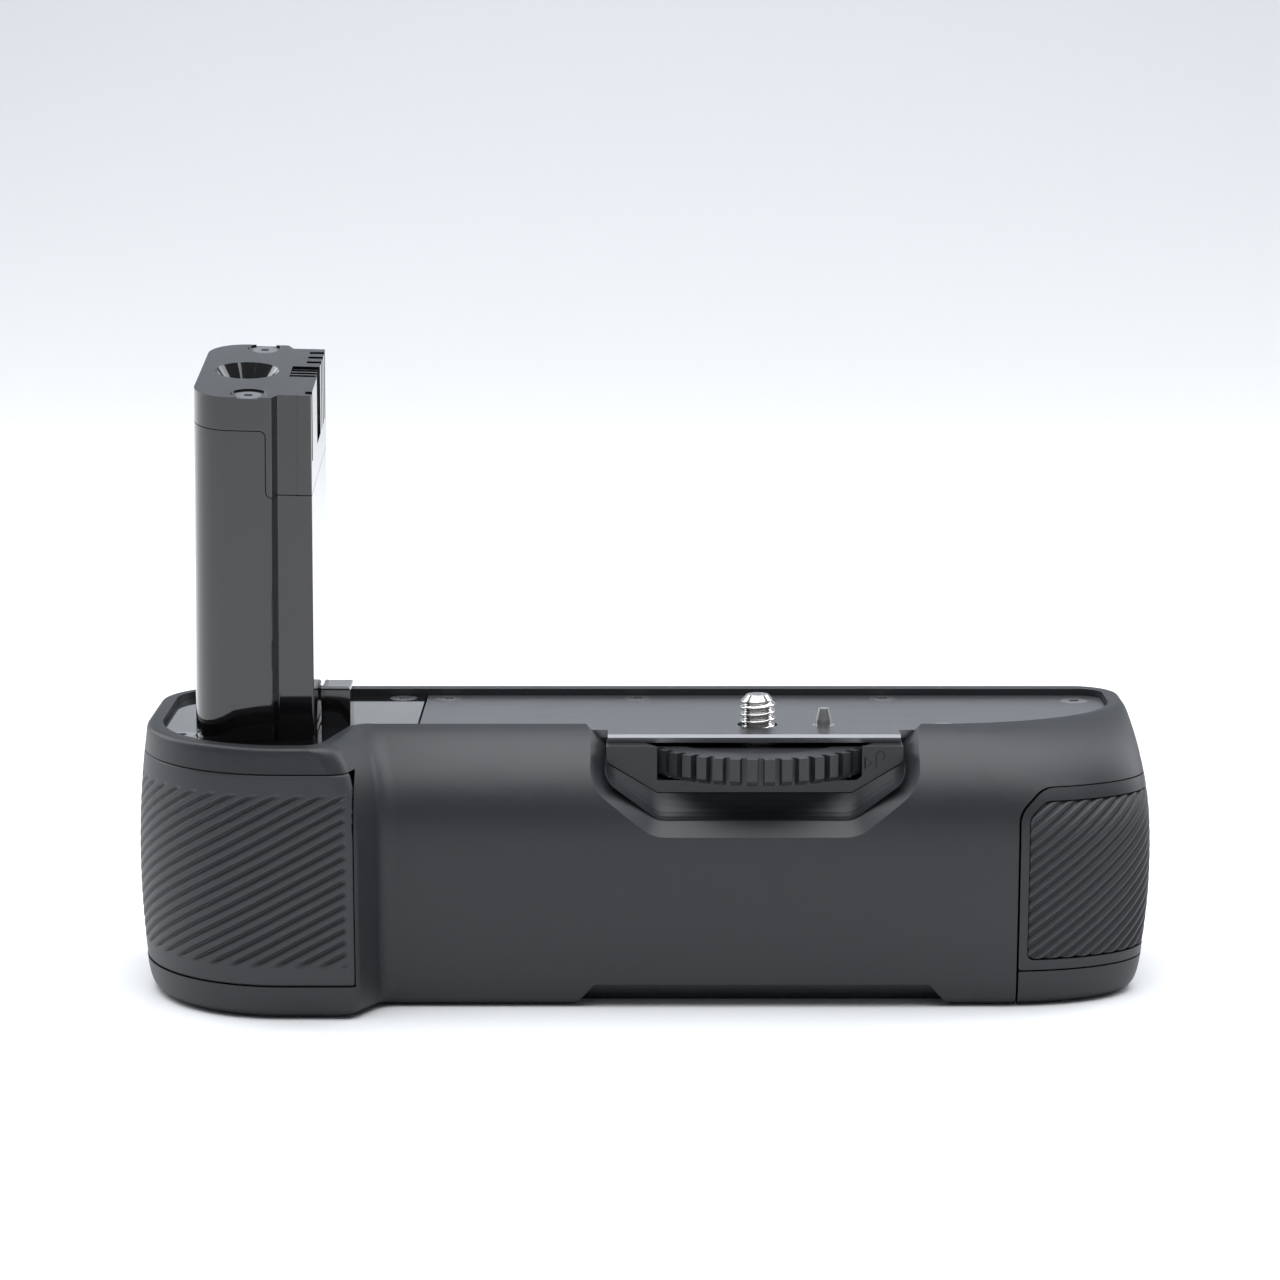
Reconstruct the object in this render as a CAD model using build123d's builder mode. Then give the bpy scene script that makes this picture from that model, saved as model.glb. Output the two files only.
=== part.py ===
# Camera battery grip. It screws to the base of a camera, holds two flat battery packs end to end
# in a tray that slides out of its right end, and feeds the camera through a dummy battery that
# stands on its handle. Millimetres. The origin is on the base plane, under the camera screw.
# +X runs along the grip away from the handle, -Y is the front, +Z is up.
import math
import os

from build123d import *

os.makedirs("parts", exist_ok=True)

# Outer form
rim_height = 48.2          # top of the rim above the base plane
full_height = 31.0         # where the sloping shoulder meets the upright front
rim_front = 5.5            # front rim of the main body, in front of the screw axis
main_front = 20.4          # upright front face of the main body
back_reach = 32.0          # back face
right_rim = 67.4           # right end at the rim
right_end = 69.8           # right end at its widest
left_rim = 108.6           # left end at the rim
left_end = 110.4           # left end at its widest
handle_rim_front = 27.7    # handle front at the rim
handle_front = 28.9        # handle front at its fullest
handle_corner_x = 82.6     # where the handle's rounded front corner starts
shoulder_start_angle = 15.0
base_round = 3.0           # rounding under the base edge
rim_round = 0.8            # rounding on the rim
right_sweep_rim = 35.5     # length of the right front corner at the rim
right_sweep_full = 25.8    # and at full width
right_depth_rim = 24.0     # depth of the right front corner at the rim
right_depth_full = 15.0    # and at full width
back_right_radius = 8.0
back_left_radius = 14.0
jog_top_x = 74.2           # handle's inner corner at the rim
jog_shift = 4.0            # how far that corner moves to the right lower down
jog_run = 4.7              # sideways run of the handle's slanting side
jog_outer_radius_rim = 5.0
jog_outer_radius_full = 2.6
jog_inner_radius = 3.5
handle_lower_draw = 1.6    # how far the handle front draws in towards the base
end_draw_height = 24.0     # height at which both ends are widest

# Shell
wall = 2.4
roof_floor = 43.0          # underside of the housing's roof
flange_top = 3.6           # top of the ledge ring round the base opening
seam = 0.4                 # visible gap between outer parts
running_gap = 0.3          # between parts that slide
seat_gap = 0.15            # between parts that are set in
overrun = 3.0              # how far cutting tools run past a face

# Top plate and gloss insert
deck_height = 47.0         # upper face of the plate and the insert
plate_thickness = 1.4
plate_edge_bevel = 0.5
insert_thickness = 2.0
deck_seam_x = -60.3        # seam between the insert and the plate
deck_back = 28.2           # inner face of the rim at the back
deck_front = 5.2           # inner face of the rim along the main front
deck_right = 64.5
deck_left = 105.9
deck_handle_front = 24.9
deck_right_depth = 22.0
deck_right_sweep = 33.0
deck_corner_radius = 4.0
deck_left_radius = 9.0
corner_screw_inset = 5.4
deck_jog_x = 76.4          # the opening's inner corner beside the handle
tab_front = 9.7            # plate's front edge in the wheel notch

# Wheel notch in the front shoulder
notch_centre_x = -0.85
notch_half_top = 26.2
notch_half_floor = 17.0
notch_side_height = 40.4
notch_floor_height = 33.5
notch_back_floor_height = 37.3
notch_back_side_height = 42.8
notch_back_y = 13.2        # how far in front of the axis the bracket's face stands
notch_radius = 4.0         # rounding of the notch's corners
bezel_width = 2.6          # slanting border round the notch
bezel_end_below = 0.98     # from the rim down to the border's end on the skin
bezel_end_drop = 2.83      # and from there down to its end in the notch

# Thumbwheel and its screw
wheel_radius = 21.5
wheel_floor = 40.1
wheel_top = 44.9
wheel_grooves = 44
groove_depth = 1.5
groove_mouth = 1.3
groove_floor = 0.9
wheel_bevel = 0.9
wheel_dish_radius = 16.0
wheel_dish_depth = 0.3
wheel_clearance = 0.8
screw_radius = 3.175       # 1/4-20 camera thread
screw_reach = 5.5          # above the deck
screw_tip_height = 1.4
screw_tip_radius = 1.9
screw_neck_radius = 3.0    # where it passes through the plate
screw_shank_radius = 2.6
screw_shank_floor = 35.9
screw_hex = 5.2            # half width of the hexagon set into the wheel
screw_hex_height = 2.0
plate_hole_radius = 3.55
bracket_floor = 37.3
bracket_floor_thickness = 2.3
bush_bore_gap = 0.05
washer_outer_radius = 7.0
washer_thickness = 0.4
clip_outer_radius = 4.6
clip_thickness = 0.8
clip_mouth = 1.7
bracket_left = 27.0
bracket_right = 25.3
bracket_back = 28.0
window_left = 19.1         # window in the bracket that the wheel shows through
window_right = 18.1
window_wall = 1.0
window_corner = 1.5

# Locating pin
pin_x = 11.8
pin_y = -0.2
pin_radius = 1.45
pin_root_radius = 2.0
pin_tip_radius = 0.95
pin_straight = 1.0
pin_reach = 3.0

# Dummy battery
stalk_x = -88.6
stalk_y = 2.5
stalk_lean = 9.4           # degrees towards the front
stalk_tilt = 1.5           # degrees towards the right
stalk_width = 21.2
stalk_depth = 36.0
stalk_length = 65.0
stalk_draft = 0.4          # degrees
stalk_corner_radius = 7.0
stalk_step_x = 14.1        # width of the full-depth part
stalk_step_run = 1.0
stalk_step_depth = 2.1
stalk_root = 4.2           # how far the shell reaches below the deck
stalk_wall = 1.8
cap_depth = 5.8            # cap's height on the left
cap_leg_depth = 17.6       # and on the contact side
cap_leg_x = 13.2           # where the cap's longer leg starts, from the stalk's left face
cap_gap = 0.15
cap_seam_radius = 1.1      # where the seam turns
cap_line_x = 7.7           # fine line down the contact side of the cap
cap_line_width = 0.25
cap_line_depth = 0.25
funnel_x = -2.2
funnel_radius = 5.5
funnel_floor_radius = 2.8
funnel_depth = 3.8
funnel_bore_depth = 2.0
cap_screw_y = 15.0
cap_screw_x = -0.5
cap_screw_head = 2.2
cap_screw_shank = 0.9
cap_screw_length = 9.0
cap_counterbore = 3.1
cap_counterbore_depth = 0.25
contact_slot_places = (12.8, 9.6, 6.4)
contact_slot_width = 1.3
contact_slot_depth = 12.0
contact_slot_run = 3.0
wide_slot_half = 3.5
wide_slot_run = 5.2
fin_width = 0.6
fin_pitch = 1.7
fin_count = 4
fin_drop = 0.3             # how far the fins stand back from the cap's faces
cap_notch_y = -13.6
cap_notch_width = 1.6
cap_notch_run = 1.6
contact_blade = 0.5
contact_blade_width = 0.8
contact_blade_height = 10.0
contact_foot = 1.2
contact_blade_x = 8.4
board_thickness = 1.2
stalk_board_x = 6.2
stalk_board_front = -13.2   # the upright board's edges
stalk_board_back = 13.2
stalk_board_drop = 12.0    # from the cap's top down to the upright board
guard_width = 5.2          # raised block beside the dummy battery
guard_depth = 8.0
guard_height = 7.3
guard_front = -2.9
guard_edge_round = 0.6

# Battery packs and their tray
pack_length = 70.8
pack_width = 38.4
pack_height = 20.6
pack_play = 0.4
tray_y = 7.9               # the tray's middle, behind the screw axis
tray_right = 62.4
tray_wall = 1.8
tray_end_wall = 1.8
tray_floor_height = 9.0
tray_floor_thickness = 1.5
tray_wall_top = 24.0
tray_tail = 9.4
tray_tail_height = 5.0
tray_thumb_width = 30.0
tray_thumb_depth = 6.0
contact_block_half = 12.0
contact_block_height = 8.0
bay_blade_pitch = 7.0
bay_blade_width = 2.2
bay_blade_reach = 0.8
plug_half = 8.0
plug_floor = 12.0
plug_height = 7.0
plug_length = 5.2
dock_pin_radius = 0.5
dock_pin_bore = 0.8
dock_pin_pitch = 4.0
dock_pin_reach = 3.0
flex_thickness = 0.3
flex_half = 5.0

# Runner under the tray
runner_right = 62.0
runner_base_half = 8.0
runner_base_floor = 5.4
runner_base_top = 6.6
runner_web_half = 3.0
runner_web_top = 7.8
runner_head_half = 5.0
runner_head_top = 8.7
hook_wall = 1.5

# Tray end, which closes the grip
end_left = 45.4
end_floor = 6.9
end_top = 39.1
end_wall = 2.6
end_corner_cut = 4.2
end_corner_radius = 4.5
end_boss_radius = 3.2
end_boss_spread = 12.0
end_boss_height = 17.0
end_screw_head = 2.3
end_screw_shank = 1.2
end_screw_length = 5.4
pad_thickness = 1.3
pad_margin_left = 1.6
pad_margin_top = 2.2
pad_margin_floor = 1.9
pad_corner_cut = 2.8
pad_high_radius = 2.6      # rounding of the pad's upper left corner
pad_low_radius = 1.2

# Handle pad
handle_pad_thickness = 1.5
handle_pad_floor = 6.2
handle_pad_top = 43.6
handle_pad_right = -70.3
handle_pad_back_right = -80.0
handle_pad_split_y = 5.0

# Lower end piece and its latch
bumper_top = 6.6
tongue_left = 36.8
bumper_screw_inset = 3.4
bumper_screw_reach = 15.0
latch_y = 21.0
latch_slot_half = 3.0
latch_half = 2.7
latch_pivot_x = 57.5
latch_pivot_z = 4.4
latch_pin_radius = 1.0
latch_pin_half = 5.0
latch_barrel_radius = 1.9
latch_bar_floor = 3.4
latch_bar_top = 5.2
latch_nose_left = 50.05
latch_nose_width = 2.0
latch_nose_top = 7.5
latch_tab_left = 60.6
latch_tab_right = 65.6
latch_tab_floor = 0.9
latch_tab_top = 2.9
latch_slot_left = 48.8
latch_floor_right = 59.0
latch_floor_thickness = 1.2
strike_gap = 0.35
strike_play = 0.6
spring_radius = 1.1
spring_wire = 0.35
spring_turns = 3

# Base
base_cover_thickness = 2.0
base_opening_left = 98.0
base_opening_right = 36.0
base_opening_front = 11.0
base_opening_back = 26.0
base_opening_radius = 4.0
base_ledge = 2.0
base_rib_width = 2.0
base_screw_inset = 5.2
socket_radius = 3.175
socket_depth = 4.6
socket_bush_radius = 6.0
socket_bush_height = 5.2
arch_left = 32.7
arch_right = 33.5
arch_slant = 4.4
arch_height = 5.0
arch_depth = 7.5

# Fasteners
deck_screw_head = 2.5
deck_screw_shank = 1.1
deck_screw_length = 6.5
base_screw_head = 2.2
base_screw_shank = 1.1
base_screw_length = 6.0
recess_share = 0.4         # socket recess, as a share of the head's radius and height
boss_radius = 2.8
boss_height = 5.5

# Board in the handle
board_left = -88.0
board_right = -34.0
board_front = -12.0
board_back = 26.0
board_floor = 34.4
board_post_radius = 2.4
board_post_inset = 5.0
board_post_left = -72.0
board_screw_head = 1.9
board_screw_length = 5.0
socket_block_half_x = 2.6
socket_block_half_y = 15.4
socket_block_height = 2.2
chip_size = 9.0
chip_height = 1.6
coil_radius = 5.0
coil_height = 4.5

# Places worked out from the sizes above
plate_floor = deck_height - plate_thickness
insert_floor = deck_height - insert_thickness
tray_half = pack_width / 2 + pack_play + tray_wall
bay_floor = tray_floor_height + tray_floor_thickness
bay_length = pack_length + pack_play
bay_outer_right = tray_right - tray_end_wall
bay_outer_left = bay_outer_right - bay_length
bay_inner_right = bay_outer_left - tray_end_wall
bay_inner_left = bay_inner_right - bay_length
tray_left = bay_inner_left - tray_end_wall
tail_left = tray_left - tray_tail
tunnel_front = tray_y - tray_half - running_gap
tunnel_back = tray_y + tray_half + running_gap
housing_end = end_left - seam
bracket_floor_top = bracket_floor + bracket_floor_thickness
washer_floor = bracket_floor_top + bush_bore_gap
guard_left = stalk_x + stalk_width / 2 + seam
cap_left = stalk_length - cap_depth
cap_leg = stalk_length - cap_leg_depth
stalk_board_top = stalk_length - stalk_board_drop
stalk_left = -stalk_width / 2
cap_leg_left = stalk_left + cap_leg_x
guide_left = tail_left - running_gap
board_top = board_floor + board_thickness
dock_left = seat_gap - base_opening_left
dock_right = tray_left - plug_length - running_gap
hook_half = runner_head_half + running_gap
hook_top = runner_web_top - running_gap
hook_floor = runner_base_top + running_gap
stalk_plane = Plane(
    origin=(stalk_x, stalk_y, deck_height),
    x_dir=(1, 0, 0),
    z_dir=(math.tan(math.radians(stalk_tilt)), -math.tan(math.radians(stalk_lean)), 1),
)


def block(low, high, mode=Mode.ADD):
    """A box between two corners, in the part being built."""
    size = [top - bottom for bottom, top in zip(low, high)]
    with Locations(low):
        Box(*size, align=(Align.MIN, Align.MIN, Align.MIN), mode=mode)


def post(place, radius, height, mode=Mode.ADD):
    """An upright cylinder that stands on a place."""
    with Locations(place):
        Cylinder(radius, height, align=(Align.CENTER, Align.CENTER, Align.MIN), mode=mode)


def swell_at(level):
    """Share of the way from the rim's outline to the full outline, as a quarter ellipse."""
    if level <= full_height:
        return 1.0
    low_turn = math.cos(math.radians(shoulder_start_angle))
    low_swell = math.sin(math.radians(shoulder_start_angle))
    rise_share = (level - full_height) / (rim_height - full_height)
    turn = math.sqrt(1 - (rise_share * low_turn) ** 2)
    return (turn - low_swell) / (1 - low_swell)


def rounding_at(level):
    """How far the outline draws in where the base and the rim are rounded."""
    if level < base_round:
        return base_round - math.sqrt(base_round**2 - (base_round - level) ** 2)
    if level > rim_height - rim_round:
        over = level - (rim_height - rim_round)
        return rim_round - math.sqrt(max(rim_round**2 - over**2, 0))
    return 0.0


def envelope_levels():
    """Heights of the outlines that the outer form is lofted through."""
    base_turns = [base_round * (1 - math.cos(math.radians(turn))) for turn in (0, 35, 65, 90)]
    upright = [full_height * share for share in (0.3, 0.55, 0.8)]
    top = rim_height - rim_round
    low_turn = math.cos(math.radians(shoulder_start_angle))
    shoulder = []
    for turn in (90, 75, 60, 48, 36, 26):
        share = math.cos(math.radians(turn)) / low_turn
        shoulder.append(full_height + (top - full_height) * share)
    rim_turns = [top + rim_round * math.sin(math.radians(turn)) for turn in (0, 40, 90)]
    return base_turns + upright + shoulder + rim_turns


def outline(level, inset):
    """The grip's closed outline at one level, moved inwards by an inset."""
    swell = swell_at(level)
    draw = rounding_at(level) + inset
    low_share = max(0.0, 1 - level / full_height)
    high_share = max(0.0, (level - full_height) / (rim_height - full_height))
    front = rim_front + (main_front - rim_front) * swell - handle_lower_draw * low_share**2
    handle = handle_front - (handle_front - handle_rim_front) * high_share**2
    handle -= handle_lower_draw * low_share**2
    end_share = ((level - end_draw_height) / (rim_height - end_draw_height)) ** 2
    right = right_end - (right_end - right_rim) * end_share
    left = left_end - (left_end - left_rim) * end_share
    sweep = right_sweep_rim + (right_sweep_full - right_sweep_rim) * swell
    depth = right_depth_rim + (right_depth_full - right_depth_rim) * swell
    sweep_x = right - sweep
    sweep_y = depth - front
    outer_radius = jog_outer_radius_rim + (jog_outer_radius_full - jog_outer_radius_rim) * swell
    corner_x = -jog_top_x + jog_shift * swell - draw
    with BuildLine() as line:
        FilletPolyline(
            (-handle_corner_x, -handle + draw),
            (corner_x, -handle + draw),
            (corner_x + jog_run, -front + draw),
            (sweep_x, -front + draw),
            radius=[max(outer_radius - inset, outer_radius / 2), jog_inner_radius + inset],
        )
        EllipticalCenterArc((sweep_x, sweep_y), sweep - draw, depth - draw, start_angle=270)
        Line((right - draw, sweep_y), (right - draw, back_reach - back_right_radius))
        RadiusArc(
            (right - draw, back_reach - back_right_radius),
            (right - back_right_radius, back_reach - draw),
            -(back_right_radius - draw),
        )
        Line((right - back_right_radius, back_reach - draw), (back_left_radius - left, back_reach - draw))
        RadiusArc(
            (back_left_radius - left, back_reach - draw),
            (draw - left, back_reach - back_left_radius),
            -(back_left_radius - draw),
        )
        Line((draw - left, back_reach - back_left_radius), (draw - left, 0))
        EllipticalCenterArc(
            (-handle_corner_x, 0), left - handle_corner_x - draw, handle - draw,
            start_angle=180,
        )
    return line.line


def envelope(inset):
    """The grip's outer form, or the same form with its skin moved inwards."""
    with BuildPart() as form:
        for level in envelope_levels():
            with BuildSketch(Plane.XY.offset(level)):
                add(outline(level, inset))
                make_face()
        loft()
    return form.part


def deck_opening(gap, floor, top):
    """The space inside the rim, from one height to another, less a gap all round."""
    sweep_x = deck_right - deck_right_sweep
    with BuildPart() as space:
        with BuildSketch(Plane.XY.offset(floor)):
            with BuildLine():
                EllipticalCenterArc(
                    (-handle_corner_x, 0),
                    deck_left - handle_corner_x - gap, deck_handle_front - gap,
                    start_angle=180,
                )
                FilletPolyline(
                    (-handle_corner_x, gap - deck_handle_front),
                    (-deck_jog_x - gap, gap - deck_handle_front),
                    (jog_run - deck_jog_x - gap, gap - deck_front),
                    (sweep_x, gap - deck_front),
                    radius=[deck_corner_radius, deck_corner_radius],
                )
                EllipticalCenterArc(
                    (sweep_x, deck_right_depth - deck_front),
                    deck_right_sweep - gap, deck_right_depth - gap,
                    start_angle=270,
                )
                FilletPolyline(
                    (deck_right - gap, deck_right_depth - deck_front),
                    (deck_right - gap, deck_back - gap),
                    (gap - deck_left, deck_back - gap),
                    (gap - deck_left, 0),
                    radius=[deck_corner_radius, deck_left_radius],
                )
            make_face()
        extrude(amount=top - floor)
    return space.part


def front_prism(points, front, back, radii=()):
    """A solid with an outline in the front view, its corners rounded or sharp, from one Y to another."""
    with BuildPart() as prism:
        with BuildSketch(Plane.XZ.offset(-back)):
            with BuildLine():
                if radii:
                    FilletPolyline(*points, radius=list(radii), close=True)
                else:
                    Polyline(*points, close=True)
            make_face()
        extrude(amount=back - front)
    return prism.part


def end_zone(left, floor, top, corner, low_radius, high_radius):
    """The right end between two heights, with its upper left corner cut, from front to back."""
    far = right_end + overrun
    points = [(left, floor), (far, floor), (far, top), (left + corner, top), (left, top - corner)]
    radii = [low_radius, seam, seam, high_radius, high_radius]
    return front_prism(points, -handle_front - overrun, back_reach + overrun, radii)


def notch_points(side_height, floor_height, top, gap):
    """The wheel notch's outline in the front view."""
    left = notch_centre_x - notch_half_top + gap
    right = notch_centre_x + notch_half_top - gap
    floor_left = notch_centre_x - notch_half_floor
    floor_right = notch_centre_x + notch_half_floor
    floor = floor_height + gap
    side = side_height + gap
    return [
        (left, top), (left, side), (floor_left, floor), (floor_right, floor), (right, side), (right, top),
    ]


def notch_section(side_height, floor_height, y):
    """A face with the notch's outline at one Y, its corners rounded."""
    points = notch_points(side_height, floor_height, rim_height + overrun, 0.0)
    with BuildSketch(Plane.XZ.offset(-y)) as section:
        with BuildLine():
            FilletPolyline(*points, radius=notch_radius)
            Line(points[-1], points[0])
        make_face()
    return section.sketch


def notch_flare():
    """The notch in front of the bracket, whose floor rises towards the back in a hollow curve."""
    border = -main_front + bezel_width
    sections = [notch_section(notch_side_height, notch_floor_height, -main_front - overrun).face()]
    for depth_share in (0.0, 0.3, 0.5, 0.7, 0.85, 1.0):
        lift_share = depth_share**2
        side = notch_side_height + (notch_back_side_height - notch_side_height) * lift_share
        floor = notch_floor_height + (notch_back_floor_height - notch_floor_height) * lift_share
        y = border - (notch_back_y + border) * depth_share
        sections.append(notch_section(side, floor, y).face())
    with BuildPart() as flare:
        loft(sections, ruled=True)
    return flare.part


def bezel_end(side):
    """The border's slant carried on from the notch to the plate's opening, on one side."""
    inner = notch_centre_x + side * notch_half_top
    top = rim_height + overrun
    low = rim_height - bezel_end_below - bezel_end_drop
    outer = inner + side * bezel_width * (top - low) / bezel_end_drop
    back = seam / 4 - deck_front
    front = back - bezel_width - rim_round - seam / 2
    return front_prism([(inner, low), (outer, top), (inner, top)], front, back)


def front_skin_gap(place):
    """How far a place is from the front skin, along Y."""
    return abs(place.Y + rim_front + (main_front - rim_front) * swell_at(place.Z))


def flat_screw(head_radius, shank_radius, length):
    """A countersunk screw, head up, with its head's face at the origin."""
    head_height = head_radius - shank_radius
    with BuildPart() as screw:
        with BuildSketch(Plane.XZ):
            with BuildLine():
                Polyline(
                    (0, 0), (head_radius, 0), (shank_radius, -head_height),
                    (shank_radius, shank_radius - length), (0, -length), close=True,
                )
            make_face()
        revolve(axis=Axis.Z)
        with BuildSketch():
            RegularPolygon(head_radius * recess_share, 6)
        extrude(amount=-head_height * recess_share, mode=Mode.SUBTRACT)
    return screw.part


outer_form = envelope(0)
inner_form = envelope(wall)
deck_space = deck_opening(0, plate_floor, rim_height + overrun)
bracket_points = notch_points(notch_back_side_height, notch_back_floor_height, plate_floor, 0.0)
bracket_inset_points = notch_points(
    notch_back_side_height, notch_back_floor_height, plate_floor, seat_gap
)
with BuildPart() as notched_front:
    add(outer_form)
    block(
        (notch_centre_x - 2 * notch_half_top, -handle_front, notch_floor_height / 2),
        (notch_centre_x + 2 * notch_half_top, 0, rim_height),
        mode=Mode.INTERSECT,
    )
    extrude(
        notch_section(notch_side_height, notch_floor_height, -deck_front - bezel_width - rim_round),
        amount=main_front, mode=Mode.SUBTRACT,
    )

# slanting border round the notch, as the part of the skin that it takes away
with BuildPart() as bordered_front:
    add(notched_front.part)
    border_edges = [
        edge for edge in edges()
        if max(front_skin_gap(edge @ 0.5), front_skin_gap(edge @ 0.1)) < rim_round
        and abs((edge @ 0.5).X - notch_centre_x) < notch_half_top + seam
        and notch_floor_height - seam < (edge @ 0.5).Z < rim_height - rim_round
        and ((edge @ 0.5).Z < plate_floor or abs((edge @ 0.5).X - notch_centre_x) > notch_half_top - seam)
    ]
    chamfer(border_edges, bezel_width)
bezel_cut = notched_front.part - bordered_front.part

deck_screw = flat_screw(deck_screw_head, deck_screw_shank, deck_screw_length)
base_screw = flat_screw(base_screw_head, base_screw_shank, base_screw_length)
end_screw = flat_screw(end_screw_head, end_screw_shank, end_screw_length)
cap_screw = flat_screw(cap_screw_head, cap_screw_shank, cap_screw_length)

# Places of the countersunk screws in the plate and in the insert
plate_screw_places = [
    (deck_seam_x + deck_corner_radius, deck_back - deck_screw_head - seam),
    (deck_right - corner_screw_inset, deck_back - corner_screw_inset),
    (deck_seam_x + deck_corner_radius, -deck_front + boss_radius + seam),
    (bracket_right + deck_corner_radius * 2, -deck_front + boss_radius * 3 / 2),
]
bracket_screw_places = [
    (-bracket_left + boss_radius * 2, deck_back - deck_screw_head - seam),
    (bracket_right - boss_radius / 2, deck_back - deck_screw_head - seam),
]
insert_screw_places = [
    (deck_seam_x - deck_corner_radius - seam, deck_back - deck_screw_head - seam),
    (-deck_left + boss_radius * 3 / 2, -deck_left_radius),
]
base_screw_places = [
    (x, y)
    for x in (base_screw_inset - base_opening_left, base_opening_right - base_screw_inset)
    for y in (base_ledge - base_opening_front, base_opening_back - base_ledge)
]


def stalk_outline(inset, height):
    """The dummy battery's section at a height on its axis, moved inwards by an inset."""
    shrink = inset + height * math.tan(math.radians(stalk_draft))
    left = shrink - stalk_width / 2
    right = stalk_width / 2 - shrink
    half = stalk_depth / 2 - shrink
    step_left = stalk_step_x - stalk_width / 2
    step_right = step_left + stalk_step_run
    low = half - stalk_step_depth
    corner = stalk_corner_radius - shrink
    with BuildLine() as line:
        FilletPolyline(
            (left, -half), (step_left, -half), (step_right, -low), (right, -low),
            (right, low), (step_right, low), (step_left, half), (left, half),
            radius=[corner, seam, seam, seam, seam, seam, seam, corner], close=True,
        )
    return line.line


def stalk_form(inset, floor, top):
    """A length of the dummy battery's drafted body, upright, between two heights on its axis."""
    with BuildPart() as length:
        for height in (floor, top):
            with BuildSketch(Plane.XY.offset(height)):
                add(stalk_outline(inset, height))
                make_face()
        loft(ruled=True)
    return length.part


def cap_zone(gap):
    """Everything above the seam between the dummy battery's cap and its shell, lowered by a gap."""
    far = 2 * stalk_width
    points = [
        (-far, cap_left - gap), (cap_leg_left - gap, cap_left - gap), (cap_leg_left - gap, cap_leg - gap),
        (far, cap_leg - gap), (far, stalk_length + overrun), (-far, stalk_length + overrun),
    ]
    radii = [seam, cap_seam_radius - gap, cap_seam_radius + gap, seam, seam, seam]
    return front_prism(points, -stalk_depth, stalk_depth, radii)


def screw_cut(head_radius, shank_radius, length):
    """The countersunk hole that a flat screw fills, opening at the origin."""
    head_height = head_radius - shank_radius
    with BuildPart() as cut:
        with BuildSketch(Plane.XZ):
            with BuildLine():
                Polyline(
                    (0, overrun), (head_radius, overrun), (head_radius, 0), (shank_radius, -head_height),
                    (shank_radius, -length), (0, -length), close=True,
                )
            make_face()
        revolve(axis=Axis.Z)
    return cut.part


deck_screw_cut = screw_cut(deck_screw_head, deck_screw_shank, deck_screw_length)
base_screw_cut = screw_cut(base_screw_head, base_screw_shank, base_screw_length).rotate(Axis.X, 180)

# The handle pad's form, and the recess that it lies in
pad_floor_form = envelope(handle_pad_thickness)


def handle_pad_zone(gap):
    """The band of skin that the pad covers, grown by a gap, down to the recess floor."""
    with BuildPart() as zone:
        block(
            (-left_end - overrun, -handle_front - overrun, handle_pad_floor - gap),
            (handle_pad_right + gap, handle_pad_split_y, handle_pad_top + gap),
        )
        block(
            (-left_end - overrun, handle_pad_split_y, handle_pad_floor - gap),
            (handle_pad_back_right + gap, back_reach + overrun, handle_pad_top + gap),
        )
        add(pad_floor_form, mode=Mode.SUBTRACT)
    return zone.part


handle_pad_recess = handle_pad_zone(seat_gap)
handle_pad_form = handle_pad_zone(0) & outer_form


# The tray end's pad and its recess
end_pad_floor_form = envelope(pad_thickness)


def end_pad_zone(gap):
    """The band of skin on the tray end that its pad covers, grown by a gap."""
    floor = end_floor + pad_margin_floor - gap
    top = end_top - pad_margin_top + gap
    left = end_left + pad_margin_left - gap
    return end_zone(left, floor, top, pad_corner_cut, pad_low_radius, pad_high_radius)


end_pad_recess = end_pad_zone(seat_gap) - end_pad_floor_form
end_pad_form = (end_pad_zone(0) & outer_form) - end_pad_floor_form

# Places on the power board, and what the upright board stands on
board_post_places = [
    (x, y)
    for x in (board_post_left, board_right - board_post_inset)
    for y in (board_front + board_post_inset, board_back - board_post_inset)
]
socket_depth_below = deck_height - board_top
socket_x = stalk_x + stalk_board_x + board_thickness / 2
socket_x -= socket_depth_below * math.tan(math.radians(stalk_tilt))
socket_y = stalk_y + socket_depth_below * math.tan(math.radians(stalk_lean))
with BuildPart() as socket_top:
    block(
        (-left_end, -handle_front, 0), (deck_seam_x, back_reach, board_top + socket_block_height),
    )
below_socket = socket_top.part
board_screw = flat_screw(board_screw_head, cap_screw_shank, board_screw_length)
cap_screw_cut = screw_cut(cap_screw_head, cap_screw_shank, cap_screw_length)
end_screw_cut = screw_cut(end_screw_head, end_screw_shank, end_screw_length)
board_screw_cut = screw_cut(board_screw_head, cap_screw_shank, board_screw_length).rotate(Axis.X, 180)
bumper_screw_places = [
    (housing_end - bumper_screw_inset, tray_y + side * bumper_screw_reach) for side in (-1, 1)
]


# Main housing: rim, shoulder, upright walls and handle in one moulding, open underneath
with BuildPart() as hollow:
    add(inner_form)
    block(
        (-left_end - overrun, -handle_front - overrun, flange_top),
        (housing_end - wall, back_reach + overrun, roof_floor),
        mode=Mode.INTERSECT,
    )
    block(
        (-bracket_left - wall, -main_front - overrun, bay_floor + pack_height + running_gap),
        (bracket_right + wall, -notch_back_y + wall, rim_height),
        mode=Mode.SUBTRACT,
    )

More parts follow.
